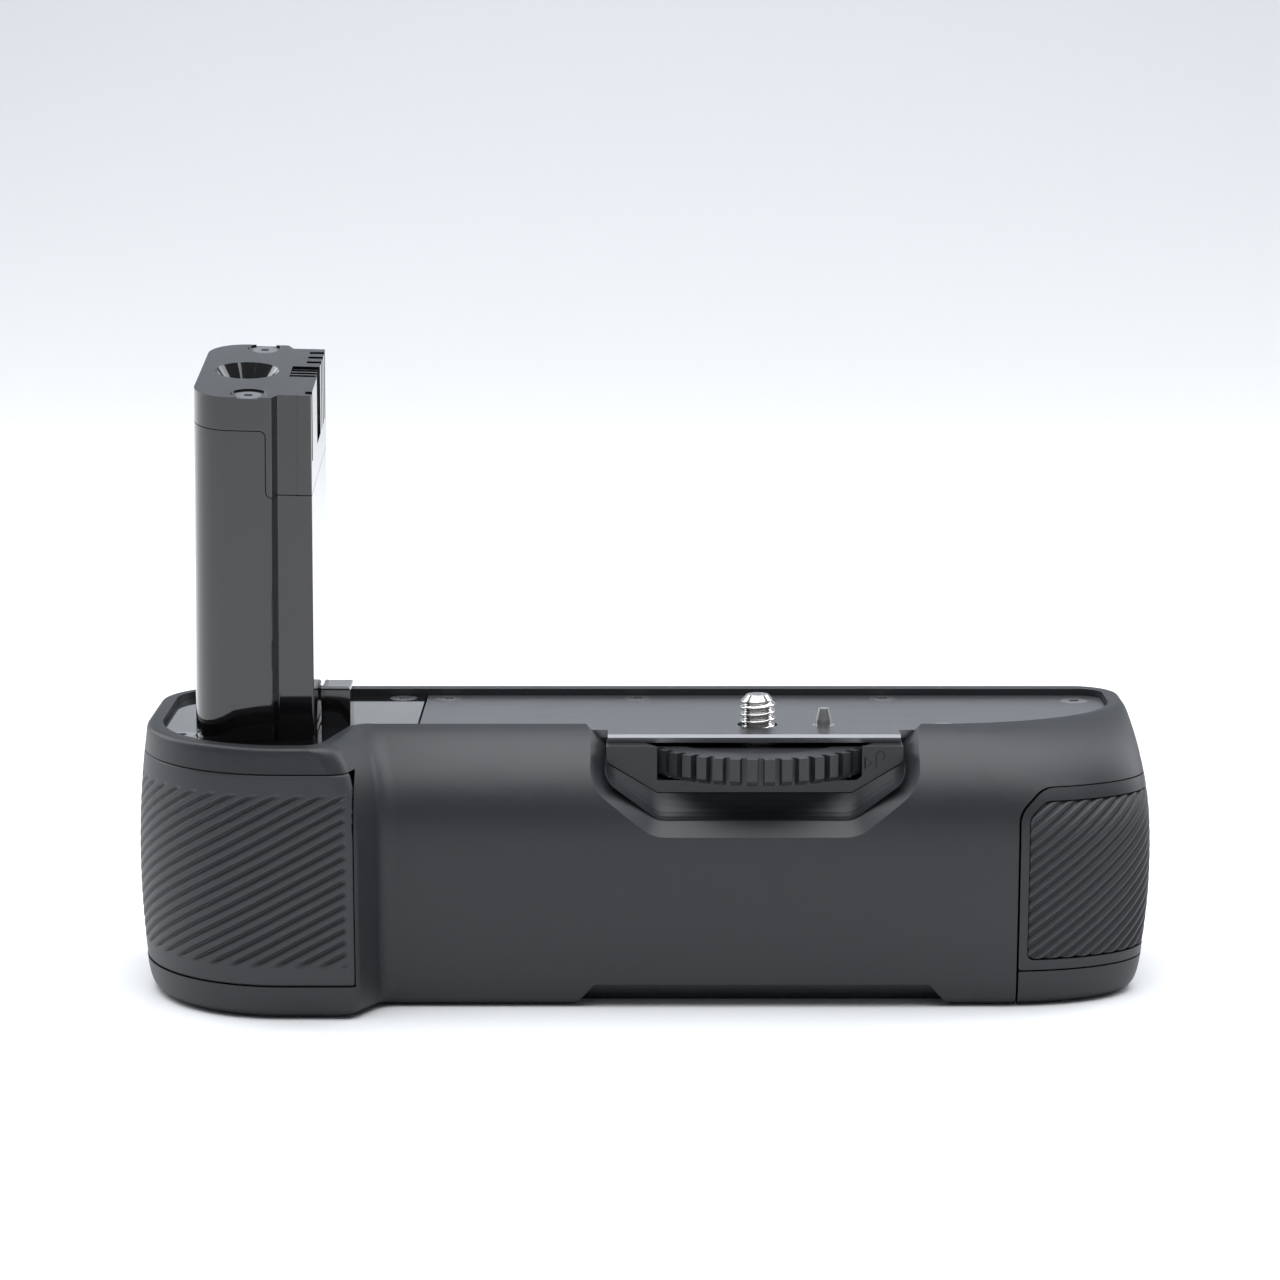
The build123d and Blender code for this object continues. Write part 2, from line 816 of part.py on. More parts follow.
with BuildPart() as arch:
    add(front_prism(
        [
            (-arch_left, -overrun), (-arch_left, 0), (arch_slant - arch_left, arch_height),
            (arch_right - arch_slant, arch_height), (arch_right, 0), (arch_right, -overrun),
        ],
        -main_front - overrun, -main_front + arch_depth,
    ))
    with BuildSketch(Plane.YZ.offset(-arch_left)):
        with BuildLine():
            Polyline(
                (-main_front - overrun, -overrun), (-main_front - overrun, arch_height + overrun),
                (-main_front, arch_height), (-main_front + arch_depth, 0),
                (-main_front + arch_depth, -overrun), close=True,
            )
        make_face()
    extrude(amount=arch_left + arch_right, mode=Mode.INTERSECT)

with BuildPart() as insert_recess:
    add(deck_opening(0, insert_floor, deck_height))
    block(
        (-left_end, -handle_front, insert_floor), (deck_seam_x, back_reach, deck_height),
        mode=Mode.INTERSECT,
    )
    block(
        (stalk_x - stalk_width / 2 - seam, stalk_y - stalk_depth / 2 - seam, roof_floor - overrun),
        (
            stalk_x + stalk_width / 2 + seam, stalk_y + stalk_depth / 2 + wall,
            insert_floor + seat_gap,
        ),
    )

with BuildPart() as main_housing:
    add(outer_form)
    add(hollow.part, mode=Mode.SUBTRACT)
    add(
        end_zone(housing_end, -overrun, end_top + seam / 2, end_corner_cut, seam, end_corner_radius),
        mode=Mode.SUBTRACT,
    )
    # mouth of the tunnel that the tray slides through
    block(
        (housing_end - wall - overrun, tunnel_front, flange_top),
        (housing_end + overrun, tunnel_back, end_top - end_wall),
        mode=Mode.SUBTRACT,
    )
    # opening underneath, with a ledge for the cover
    for spread, floor, top in (
        (0.0, -overrun, flange_top + overrun / 2), (base_ledge, -overrun, base_cover_thickness),
    ):
        with BuildSketch(Plane.XY.offset(floor)):
            with Locations((
                (base_opening_right - base_opening_left) / 2,
                (base_opening_back - base_opening_front) / 2,
            )):
                RectangleRounded(
                    base_opening_left + base_opening_right + 2 * spread,
                    base_opening_front + base_opening_back + 2 * spread,
                    base_opening_radius,
                )
        extrude(amount=top - floor, mode=Mode.SUBTRACT)
    add(arch.part, mode=Mode.SUBTRACT)
    # lugs for the cover's screws, posts for the board and holes for the lower end piece's screws
    for x, y in base_screw_places:
        lug_height = base_screw_length + seam - base_cover_thickness
        post((x, y, base_cover_thickness), boss_radius, lug_height)
        post((x, y, base_cover_thickness), base_screw_shank, lug_height - seam, mode=Mode.SUBTRACT)
    for x, y in board_post_places:
        post((x, y, board_top), board_post_radius, roof_floor + seam - board_top)
        post(
            (x, y, board_top), cap_screw_shank, board_screw_length - board_thickness, mode=Mode.SUBTRACT,
        )
    for x, y in bumper_screw_places:
        with Locations((x, y, 0)):
            add(board_screw_cut, mode=Mode.SUBTRACT)
    # opening inside the rim, the lower step under the insert and the hole for the dummy battery
    add(deck_space, mode=Mode.SUBTRACT)
    add(insert_recess.part, mode=Mode.SUBTRACT)
    add(front_prism(bracket_points, -notch_back_y - seam, bracket_back + seat_gap), mode=Mode.SUBTRACT)
    # gap for the plate's tab, flared to both sides where it meets the rim
    with BuildSketch(Plane.XY.offset(plate_floor)):
        with BuildLine():
            Polyline(
                (notch_centre_x - notch_half_top, -notch_back_y - overrun),
                (notch_centre_x - notch_half_top, -deck_front - bezel_width),
                (notch_centre_x - notch_half_top - bezel_width / 3, -deck_front - bezel_width / 3),
                (notch_centre_x - notch_half_top - bezel_width, -deck_front + seam),
                (notch_centre_x + notch_half_top + bezel_width, -deck_front + seam),
                (notch_centre_x + notch_half_top + bezel_width / 3, -deck_front - bezel_width / 3),
                (notch_centre_x + notch_half_top, -deck_front - bezel_width),
                (notch_centre_x + notch_half_top, -notch_back_y - overrun),
                close=True,
            )
        make_face()
    extrude(amount=rim_height + overrun - plate_floor, mode=Mode.SUBTRACT)
    add(notch_flare(), mode=Mode.SUBTRACT)
    add(bezel_cut, mode=Mode.SUBTRACT)
    for side in (-1, 1):
        add(bezel_end(side), mode=Mode.SUBTRACT)
    # recess for the handle pad and bosses for the plate's and the insert's screws
    add(handle_pad_recess, mode=Mode.SUBTRACT)
    for x, y in plate_screw_places + insert_screw_places:
        post((x, y, plate_floor - boss_height), boss_radius, boss_height - insert_thickness)
        post(
            (x, y, deck_height - deck_screw_length), deck_screw_shank, deck_screw_length,
            mode=Mode.SUBTRACT,
        )
main_housing.part.label = "main_housing"
export_step(main_housing.part, "parts/main_housing.step")


# Handle pad: a rubber sleeve round the left end
with BuildPart() as handle_grip_pad:
    add(handle_pad_form)
handle_grip_pad.part.label = "handle_grip_pad"
export_step(handle_grip_pad.part, "parts/handle_grip_pad.step")


# Base cover, set into the opening underneath, with ribs that carry the runner
with BuildPart() as base_cover:
    with BuildSketch():
        with Locations((
            (base_opening_right - base_opening_left) / 2, (base_opening_back - base_opening_front) / 2,
        )):
            RectangleRounded(
                base_opening_left + base_opening_right + 2 * (base_ledge - seat_gap),
                base_opening_front + base_opening_back + 2 * (base_ledge - seat_gap),
                base_opening_radius,
            )
    extrude(amount=base_cover_thickness)
    for side in (-1, 1):
        rib_y = tray_y + side * (runner_base_half - base_rib_width / 2)
        block(
            (-base_opening_left + base_screw_inset, rib_y - base_rib_width / 2, 0),
            (base_opening_right - seam, rib_y + base_rib_width / 2, runner_base_floor),
        )
    post((0, 0, 0), socket_bush_radius, socket_bush_height + overrun, mode=Mode.SUBTRACT)
    for x, y in base_screw_places:
        with Locations((x, y, 0)):
            add(base_screw_cut, mode=Mode.SUBTRACT)
base_cover.part.label = "base_cover"
export_step(base_cover.part, "parts/base_cover.step")

with BuildPart() as base_screws:
    for x, y in base_screw_places:
        with Locations(Location((x, y, 0), (180, 0, 0))):
            add(base_screw)
base_screws.part.label = "base_screws"
export_step(base_screws.part, "parts/base_screws.step")

# Threaded bush for a tripod, in the base cover
with BuildPart() as tripod_bush:
    post((0, 0, 0), socket_bush_radius, socket_bush_height)
    post((0, 0, 0), socket_radius, socket_depth, mode=Mode.SUBTRACT)
tripod_bush.part.label = "tripod_bush"
export_step(tripod_bush.part, "parts/tripod_bush.step")


# Gloss insert round the dummy battery's foot, with the raised guard block beside it
with BuildPart() as stalk_base_insert:
    add(deck_opening(seat_gap, insert_floor, deck_height))
    block(
        (-left_end, -handle_front, insert_floor), (deck_seam_x - seam, back_reach, deck_height),
        mode=Mode.INTERSECT,
    )
    block(
        (guard_left, guard_front, insert_floor),
        (guard_left + guard_width, guard_front + guard_depth, deck_height + guard_height),
    )
    fillet(
        edges().filter_by(Axis.Z, reverse=True).group_by(Axis.Z)[-1], guard_edge_round,
    )
    with Locations(stalk_plane.location):
        add(stalk_form(-seat_gap, -stalk_root, stalk_root), mode=Mode.SUBTRACT)
    for x, y in insert_screw_places:
        with Locations((x, y, deck_height)):
            add(deck_screw_cut, mode=Mode.SUBTRACT)
stalk_base_insert.part.label = "stalk_base_insert"
export_step(stalk_base_insert.part, "parts/stalk_base_insert.step")

with BuildPart() as insert_screws:
    for x, y in insert_screw_places:
        with Locations((x, y, deck_height)):
            add(deck_screw)
insert_screws.part.label = "insert_screws"
export_step(insert_screws.part, "parts/insert_screws.step")


# Top plate with its tab over the thumbwheel
with BuildPart() as top_plate:
    add(deck_opening(seat_gap, plate_floor, deck_height))
    block(
        (deck_seam_x, -main_front, plate_floor), (right_end, back_reach, deck_height),
        mode=Mode.INTERSECT,
    )
    block(
        (notch_centre_x - notch_half_top + seam, -tab_front, plate_floor),
        (notch_centre_x + notch_half_top - seam, 0, deck_height),
    )
    chamfer(
        edges().filter_by(Axis.X).group_by(Axis.Y)[0].sort_by(Axis.Z)[-1], plate_edge_bevel,
    )
    post((0, 0, plate_floor), plate_hole_radius, plate_thickness, mode=Mode.SUBTRACT)
    post((pin_x, pin_y, plate_floor), pin_root_radius, plate_thickness, mode=Mode.SUBTRACT)
    for x, y in plate_screw_places + bracket_screw_places:
        with Locations((x, y, deck_height)):
            add(deck_screw_cut, mode=Mode.SUBTRACT)
top_plate.part.label = "top_plate"
export_step(top_plate.part, "parts/top_plate.step")

with BuildPart() as top_plate_screws:
    for x, y in plate_screw_places + bracket_screw_places:
        with Locations((x, y, deck_height)):
            add(deck_screw)
top_plate_screws.part.label = "top_plate_screws"
export_step(top_plate_screws.part, "parts/top_plate_screws.step")

with BuildPart() as locating_pin:
    post((pin_x, pin_y, plate_floor), pin_root_radius, plate_thickness)
    post((pin_x, pin_y, deck_height), pin_radius, pin_straight)
    with Locations((pin_x, pin_y, deck_height + pin_straight)):
        Cone(
            pin_radius, pin_tip_radius, pin_reach - pin_straight,
            align=(Align.CENTER, Align.CENTER, Align.MIN),
        )
locating_pin.part.label = "locating_pin"
export_step(locating_pin.part, "parts/locating_pin.step")


# Bracket that holds the thumbwheel under the plate, with a window in its face
with BuildPart() as bracket_face:
    add(front_prism(bracket_inset_points, -notch_back_y, window_wall - notch_back_y))
    add(
        front_prism(
            [
                (-window_left, bracket_floor_top), (window_right, bracket_floor_top),
                (window_right, deck_height), (-window_left, deck_height),
            ],
            -notch_back_y - seam, window_wall + seam - notch_back_y, [window_corner] * 4,
        ),
        mode=Mode.SUBTRACT,
    )

with BuildPart() as wheel_bracket:
    add(front_prism(bracket_inset_points, -notch_back_y, bracket_back))
    post(
        (0, 0, bracket_floor_top), wheel_radius + wheel_clearance, deck_height - bracket_floor_top,
        mode=Mode.SUBTRACT,
    )
    add(bracket_face.part)
    post(
        (0, 0, bracket_floor - overrun), screw_shank_radius + bush_bore_gap,
        bracket_floor_thickness + 2 * overrun, mode=Mode.SUBTRACT,
    )
    for x, y in bracket_screw_places:
        post((x, y, bracket_floor), deck_screw_shank, deck_height - bracket_floor, mode=Mode.SUBTRACT)
wheel_bracket.part.label = "wheel_bracket"
export_step(wheel_bracket.part, "parts/wheel_bracket.step")

# Thumbwheel with a grooved edge, bevelled below, and a hexagonal seat for the screw
with BuildSketch() as wheel_groove:
    with BuildLine():
        Polyline(
            (seam, -groove_mouth / 2), (seam, groove_mouth / 2),
            (-groove_depth, groove_floor / 2), (-groove_depth, -groove_floor / 2), close=True,
        )
    make_face()

with BuildPart() as screw_wheel:
    with BuildSketch(Plane.XY.offset(wheel_floor)):
        Circle(wheel_radius)
        with PolarLocations(wheel_radius, wheel_grooves):
            add(wheel_groove.sketch, mode=Mode.SUBTRACT)
        RegularPolygon(screw_hex, 6, major_radius=False, mode=Mode.SUBTRACT)
    extrude(amount=wheel_top - wheel_floor)
    with BuildSketch(Plane.XZ):
        with BuildLine():
            Polyline(
                (0, wheel_floor), (wheel_radius - wheel_bevel, wheel_floor),
                (wheel_radius + seam, wheel_floor + wheel_bevel + seam),
                (wheel_radius + seam, wheel_top), (wheel_dish_radius, wheel_top),
                (wheel_dish_radius - wheel_dish_depth, wheel_top - wheel_dish_depth),
                (0, wheel_top - wheel_dish_depth), close=True,
            )
        make_face()
    revolve(axis=Axis.Z, mode=Mode.INTERSECT)
screw_wheel.part.label = "screw_wheel"
export_step(screw_wheel.part, "parts/screw_wheel.step")

# Camera screw: hexagonal collar in the wheel, shank through the bracket's bush
with BuildPart() as camera_screw:
    post((0, 0, screw_shank_floor), screw_shank_radius, wheel_floor - screw_shank_floor)
    with BuildSketch(Plane.XY.offset(wheel_floor)):
        RegularPolygon(screw_hex, 6, major_radius=False)
    extrude(amount=screw_hex_height)
    post(
        (0, 0, wheel_floor + screw_hex_height), screw_neck_radius,
        deck_height - wheel_floor - screw_hex_height,
    )
    post((0, 0, deck_height), screw_radius, screw_reach - screw_tip_height)
    with Locations((0, 0, deck_height + screw_reach - screw_tip_height)):
        Cone(
            screw_radius, screw_tip_radius, screw_tip_height,
            align=(Align.CENTER, Align.CENTER, Align.MIN),
        )
    with BuildSketch(Plane.XY.offset(screw_shank_floor + clip_thickness / 2)):
        Circle(screw_shank_radius + seam)
        Circle(screw_shank_radius - seam, mode=Mode.SUBTRACT)
    extrude(amount=clip_thickness, mode=Mode.SUBTRACT)
camera_screw.part.label = "camera_screw"
export_step(camera_screw.part, "parts/camera_screw.step")

with BuildPart() as thrust_washer:
    post((0, 0, washer_floor), washer_outer_radius, washer_thickness)
    post((0, 0, washer_floor), screw_shank_radius, washer_thickness, mode=Mode.SUBTRACT)
thrust_washer.part.label = "thrust_washer"
export_step(thrust_washer.part, "parts/thrust_washer.step")

with BuildPart() as retaining_clip:
    post((0, 0, screw_shank_floor + clip_thickness / 2), clip_outer_radius, clip_thickness)
    post(
        (0, 0, screw_shank_floor + clip_thickness / 2), screw_shank_radius - seam, clip_thickness,
        mode=Mode.SUBTRACT,
    )
    block(
        (0, -clip_mouth, screw_shank_floor),
        (clip_outer_radius, clip_mouth, screw_shank_floor + 2 * clip_thickness),
        mode=Mode.SUBTRACT,
    )
retaining_clip.part.label = "retaining_clip"
export_step(retaining_clip.part, "parts/retaining_clip.step")


# Dummy battery: the shell below its contact cap
with BuildPart(stalk_plane) as stalk_shell:
    add(stalk_form(0, -stalk_root, cap_left - cap_gap))
    add(cap_zone(cap_gap), mode=Mode.SUBTRACT)
    add(stalk_form(stalk_wall, -stalk_root - overrun, cap_leg - cap_gap - stalk_wall), mode=Mode.SUBTRACT)
    block(
        (stalk_board_x - seat_gap, stalk_board_front - seat_gap, cap_leg - 2 * stalk_wall),
        (stalk_board_x + board_thickness + seat_gap, stalk_board_back + seat_gap, stalk_length),
        mode=Mode.SUBTRACT,
    )
    for side in (-1, 1):
        post(
            (cap_screw_x, side * cap_screw_y, stalk_length - cap_counterbore_depth - cap_screw_length),
            cap_screw_shank, cap_screw_length, mode=Mode.SUBTRACT,
        )
stalk_shell.part.label = "stalk_shell"
export_step(stalk_shell.part, "parts/stalk_shell.step")

# Contact cap over the top and down the contact side, with its funnel, slots and screws
with BuildPart(stalk_plane) as stalk_cap:
    add(stalk_form(0, cap_leg, stalk_length))
    add(cap_zone(0), mode=Mode.INTERSECT)
    block(
        (cap_line_x, -stalk_depth, cap_leg),
        (
            cap_line_x + cap_line_width,
            stalk_step_depth + cap_line_depth - stalk_depth / 2
            + stalk_length * math.tan(math.radians(stalk_draft)),
            stalk_length,
        ),
        mode=Mode.SUBTRACT,
    )
    with Locations((funnel_x, 0, stalk_length - funnel_depth)):
        Cone(
            funnel_floor_radius, funnel_radius, funnel_depth,
            align=(Align.CENTER, Align.CENTER, Align.MIN), mode=Mode.SUBTRACT,
        )
    post(
        (funnel_x, 0, stalk_length - funnel_depth - funnel_bore_depth + cap_gap),
        funnel_floor_radius, funnel_bore_depth, mode=Mode.SUBTRACT,
    )
    for side in (-1, 1):
        post(
            (cap_screw_x, side * cap_screw_y, stalk_length - cap_counterbore_depth), cap_counterbore,
            cap_counterbore_depth, mode=Mode.SUBTRACT,
        )
        with Locations((cap_screw_x, side * cap_screw_y, stalk_length - cap_counterbore_depth)):
            add(cap_screw_cut, mode=Mode.SUBTRACT)
    for slot_y in contact_slot_places:
        block(
            (
                stalk_width / 2 - contact_slot_run, slot_y - contact_slot_width / 2,
                stalk_length - contact_slot_depth,
            ),
            (stalk_width, slot_y + contact_slot_width / 2, stalk_length),
            mode=Mode.SUBTRACT,
        )
    block(
        (stalk_width / 2 - wide_slot_run, -wide_slot_half, stalk_length - contact_slot_depth),
        (stalk_width, wide_slot_half, stalk_length),
        mode=Mode.SUBTRACT,
    )
    for fin in range(fin_count):
        fin_y = (fin - (fin_count - 1) / 2) * fin_pitch
        block(
            (
                stalk_width / 2 - wide_slot_run - seam, fin_y - fin_width / 2,
                stalk_length - contact_slot_depth - seam,
            ),
            (
                stalk_width / 2 - stalk_length * math.tan(math.radians(stalk_draft)) - fin_drop,
                fin_y + fin_width / 2, stalk_length - fin_drop,
            ),
        )
    block(
        (
            stalk_width / 2 - cap_notch_run, cap_notch_y - cap_notch_width / 2,
            stalk_length - contact_slot_depth,
        ),
        (stalk_width, cap_notch_y + cap_notch_width / 2, stalk_length),
        mode=Mode.SUBTRACT,
    )
    block(
        (stalk_board_x - seat_gap, stalk_board_front - seat_gap, 0),
        (
            stalk_board_x + board_thickness + seat_gap, stalk_board_back + seat_gap,
            stalk_board_top + seat_gap,
        ),
        mode=Mode.SUBTRACT,
    )
    for slot_y in contact_slot_places:
        block(
            (stalk_board_x, slot_y - contact_slot_width / 2, stalk_board_top - contact_foot - seam),
            (
                contact_blade_x + contact_blade + seat_gap, slot_y + contact_slot_width / 2,
                stalk_board_top + seat_gap,
            ),
            mode=Mode.SUBTRACT,
        )
stalk_cap.part.label = "stalk_cap"
export_step(stalk_cap.part, "parts/stalk_cap.step")

with BuildPart(stalk_plane) as stalk_cap_screws:
    for side in (-1, 1):
        with Locations((cap_screw_x, side * cap_screw_y, stalk_length - cap_counterbore_depth)):
            add(cap_screw)
stalk_cap_screws.part.label = "stalk_cap_screws"
export_step(stalk_cap_screws.part, "parts/stalk_cap_screws.step")

# Spring contacts in the cap's slots, soldered to the upright board by their feet
with BuildPart(stalk_plane) as stalk_contacts:
    for slot_y in contact_slot_places:
        block(
            (
                contact_blade_x, slot_y - contact_blade_width / 2,
                stalk_board_top - contact_foot,
            ),
            (
                contact_blade_x + contact_blade, slot_y + contact_blade_width / 2,
                stalk_board_top - contact_foot + contact_blade_height,
            ),
        )
        block(
            (
                stalk_board_x + board_thickness, slot_y - contact_blade_width / 2,
                stalk_board_top - contact_foot,
            ),
            (contact_blade_x, slot_y + contact_blade_width / 2, stalk_board_top - contact_foot / 2),
        )
stalk_contacts.part.label = "stalk_contacts"
export_step(stalk_contacts.part, "parts/stalk_contacts.step")

# Board that stands in the dummy battery and plugs into the power board below
with BuildPart(stalk_plane) as stalk_board:
    block(
        (stalk_board_x, stalk_board_front, -stalk_root * 3),
        (stalk_board_x + board_thickness, stalk_board_back, stalk_board_top),
    )
    with Locations(stalk_plane.location.inverse()):
        add(below_socket, mode=Mode.SUBTRACT)
stalk_board.part.label = "stalk_board"
export_step(stalk_board.part, "parts/stalk_board.step")

# Power board under the roof, on posts, with its socket, chips and coil
with BuildPart() as power_board:
    block((board_left, board_front, board_floor), (board_right, board_back, board_top))
    for x, y in board_post_places:
        with Locations((x, y, board_floor)):
            add(board_screw_cut, mode=Mode.SUBTRACT)
    block(
        (socket_x - socket_block_half_x, socket_y - socket_block_half_y, board_top),
        (socket_x + socket_block_half_x, socket_y + socket_block_half_y, board_top + socket_block_height),
    )
    block(
        (board_right - 3 * chip_size, board_front + chip_size, board_top),
        (board_right - 2 * chip_size, board_front + 2 * chip_size, board_top + chip_height),
    )
    block(
        (board_right - 3 * chip_size, board_back - 2 * chip_size, board_top),
        (board_right - 2 * chip_size, board_back - chip_size, board_top + chip_height),
    )
    post(
        (board_right - chip_size, (board_front + board_back) / 2, board_top), coil_radius, coil_height,
    )
power_board.part.label = "power_board"
export_step(power_board.part, "parts/power_board.step")

with BuildPart() as board_screws:
    for x, y in board_post_places:
        with Locations(Location((x, y, board_floor), (180, 0, 0))):
            add(board_screw)
board_screws.part.label = "board_screws"
export_step(board_screws.part, "parts/board_screws.step")

# Dock that stands on the cover inside the handle, whose pins enter the plug on the tray's tail
with BuildPart() as dock_connector:
    block(
        (dock_left, tray_y - plug_half, plug_floor),
        (dock_right, tray_y + plug_half, plug_floor + plug_height),
    )
    block(
        (dock_left, tray_y - plug_half, base_cover_thickness),
        (guide_left - seam, tray_y + plug_half, plug_floor),
    )
dock_connector.part.label = "dock_connector"
export_step(dock_connector.part, "parts/dock_connector.step")

with BuildPart() as dock_pins:
    for pin in (-1, 0, 1):
        with Locations(Location(
            (dock_right, tray_y + pin * dock_pin_pitch, plug_floor + plug_height / 2), (0, 90, 0),
        )):
            Cylinder(
                dock_pin_radius, dock_pin_reach, align=(Align.CENTER, Align.CENTER, Align.MIN),
            )
dock_pins.part.label = "dock_pins"
export_step(dock_pins.part, "parts/dock_pins.step")

# Runner: a bar with a T section along the floor, from the handle into the lower end piece
with BuildPart() as tray_runner:
    for half, floor, top in (
        (runner_base_half, runner_base_floor, runner_base_top),
        (runner_web_half, runner_base_top, runner_web_top),
        (runner_head_half, runner_web_top, runner_head_top),
    ):
        block((guide_left, tray_y - half, floor), (runner_right, tray_y + half, top))
tray_runner.part.label = "tray_runner"
export_step(tray_runner.part, "parts/tray_runner.step")


# What lies outside the tray end's inner face, to which the tray's corners are cut
with BuildPart() as end_surround:
    block((end_left, -main_front, 0), (right_end, back_reach, tray_wall_top + overrun))
    add(envelope(end_wall + running_gap), mode=Mode.SUBTRACT)

# Tray with two bays end to end, a tail with the plug, and hooks that hold the runner's head
with BuildPart() as battery_tray:
    block(
        (tail_left, tray_y - tray_half, tray_floor_height),
        (tray_right, tray_y + tray_half, tray_wall_top),
    )
    for left, right in ((bay_outer_left, bay_outer_right), (bay_inner_left, bay_inner_right)):
        block(
            (left, tray_y - tray_half + tray_wall, bay_floor),
            (right, tray_y + tray_half - tray_wall, tray_wall_top + overrun),
            mode=Mode.SUBTRACT,
        )
        middle = (left + right) / 2
        add(
            front_prism(
                [
                    (middle - tray_thumb_width / 2, tray_wall_top + overrun),
                    (middle - tray_thumb_width / 2, tray_wall_top - tray_thumb_depth),
                    (middle + tray_thumb_width / 2, tray_wall_top - tray_thumb_depth),
                    (middle + tray_thumb_width / 2, tray_wall_top + overrun),
                ],
                tray_y - tray_half - overrun, tray_y + tray_half + overrun,
            ),
            mode=Mode.SUBTRACT,
        )
    block(
        (tail_left - overrun, tray_y - tray_half + 2 * tray_wall, tray_floor_height - overrun),
        (tray_left, tray_y + tray_half - 2 * tray_wall, tray_wall_top + overrun),
        mode=Mode.SUBTRACT,
    )
    block(
        (tail_left - overrun, tray_y - tray_half - overrun, tray_floor_height + tray_tail_height),
        (tray_left, tray_y + tray_half + overrun, tray_wall_top + overrun),
        mode=Mode.SUBTRACT,
    )
    add(end_surround.part, mode=Mode.SUBTRACT)
    for side in (-1, 1):
        near, far = sorted((side * hook_half, side * (hook_half + hook_wall)))
        block(
            (tray_left, tray_y + near, hook_floor), (tray_right, tray_y + far, tray_floor_height),
        )
        near, far = sorted((side * (runner_web_half + running_gap), side * hook_half))
        block((tray_left, tray_y + near, hook_floor), (tray_right, tray_y + far, hook_top))
    for wall_left in (tray_left, bay_inner_right):
        block(
            (wall_left, tray_y - contact_block_half, bay_floor),
            (wall_left + tray_end_wall, tray_y + contact_block_half, bay_floor + contact_block_height),
            mode=Mode.SUBTRACT,
        )
    for side in (-1, 1):
        with Locations(Location(
            (bay_outer_right, tray_y + side * end_boss_spread, end_boss_height), (0, -90, 0),
        )):
            add(end_screw_cut, mode=Mode.SUBTRACT)
battery_tray.part.label = "battery_tray"
export_step(battery_tray.part, "parts/battery_tray.step")

# Contact blocks set into the left wall of each bay, with three spring blades each
with BuildPart() as bay_contact_blocks:
    for wall_left in (tray_left, bay_inner_right):
        block(
            (wall_left, tray_y - contact_block_half, bay_floor),
            (wall_left + tray_end_wall, tray_y + contact_block_half, bay_floor + contact_block_height),
        )
bay_contact_blocks.part.label = "bay_contact_blocks"
export_step(bay_contact_blocks.part, "parts/bay_contact_blocks.step")

with BuildPart() as bay_contacts:
    for wall_left in (tray_left, bay_inner_right):
        for blade in (-1, 0, 1):
            blade_y = tray_y + blade * bay_blade_pitch
            block(
                (wall_left + tray_end_wall, blade_y - bay_blade_width / 2, bay_floor + contact_foot),
                (
                    wall_left + tray_end_wall + bay_blade_reach, blade_y + bay_blade_width / 2,
                    bay_floor + contact_block_height - contact_foot,
                ),
            )
bay_contacts.part.label = "bay_contacts"
export_step(bay_contacts.part, "parts/bay_contacts.step")

with BuildPart() as tray_plug:
    block(
        (tray_left - plug_length, tray_y - plug_half, plug_floor),
        (tray_left, tray_y + plug_half, plug_floor + plug_height),
    )
    for pin in (-1, 0, 1):
        with Locations(Location(
            (tray_left - plug_length, tray_y + pin * dock_pin_pitch, plug_floor + plug_height / 2),
            (0, 90, 0),
        )):
            Cylinder(
                dock_pin_bore, dock_pin_reach + running_gap,
                align=(Align.CENTER, Align.CENTER, Align.MIN), mode=Mode.SUBTRACT,
            )
tray_plug.part.label = "tray_plug"
export_step(tray_plug.part, "parts/tray_plug.step")

# Flat cable on the tray's floor from the outer bay's contacts to the plug
with BuildPart() as tray_flex:
    block(
        (bay_inner_left, tray_y - flex_half, bay_floor),
        (bay_inner_right, tray_y + flex_half, bay_floor + flex_thickness),
    )
tray_flex.part.label = "tray_flex"
export_step(tray_flex.part, "parts/tray_flex.step")


# Tray end: a hollow cap that wraps the grip's right end
with BuildPart() as end_hollow:
    add(envelope(end_wall))
    block(
        (end_left - overrun, -main_front, end_floor + tray_floor_height - runner_base_top - seam),
        (right_end, back_reach, end_top - end_wall),
        mode=Mode.INTERSECT,
    )

with BuildPart() as tray_end:
    add(outer_form)
    add(
        end_zone(end_left, end_floor, end_top, end_corner_cut, seam, end_corner_radius),
        mode=Mode.INTERSECT,
    )
    add(end_hollow.part, mode=Mode.SUBTRACT)
    for side in (-1, 1):
        with Locations(Location(
            (tray_right, tray_y + side * end_boss_spread, end_boss_height), (0, 90, 0),
        )):
            Cylinder(
                end_boss_radius, right_end - end_wall - tray_right + seam,
                align=(Align.CENTER, Align.CENTER, Align.MIN),
            )
        with Locations(Location(
            (bay_outer_right, tray_y + side * end_boss_spread, end_boss_height), (0, -90, 0),
        )):
            add(end_screw_cut, mode=Mode.SUBTRACT)
    # room for the runner and the hooks, and the pocket that the latch's nose holds
    block(
        (end_left - overrun, tray_y - hook_half - hook_wall - seat_gap, end_floor - overrun),
        (tray_right + running_gap, tray_y + hook_half + hook_wall + seat_gap, tray_floor_height),
        mode=Mode.SUBTRACT,
    )
    block(
        (latch_nose_left - strike_gap, latch_y - latch_half - seam, end_floor - overrun),
        (latch_nose_left + latch_nose_width + strike_play, latch_y + latch_half + seam, tray_floor_height),
        mode=Mode.SUBTRACT,
    )
    add(end_pad_recess, mode=Mode.SUBTRACT)
tray_end.part.label = "tray_end"
export_step(tray_end.part, "parts/tray_end.step")

with BuildPart() as tray_end_pad:
    add(end_pad_form)
tray_end_pad.part.label = "tray_end_pad"
export_step(tray_end_pad.part, "parts/tray_end_pad.step")

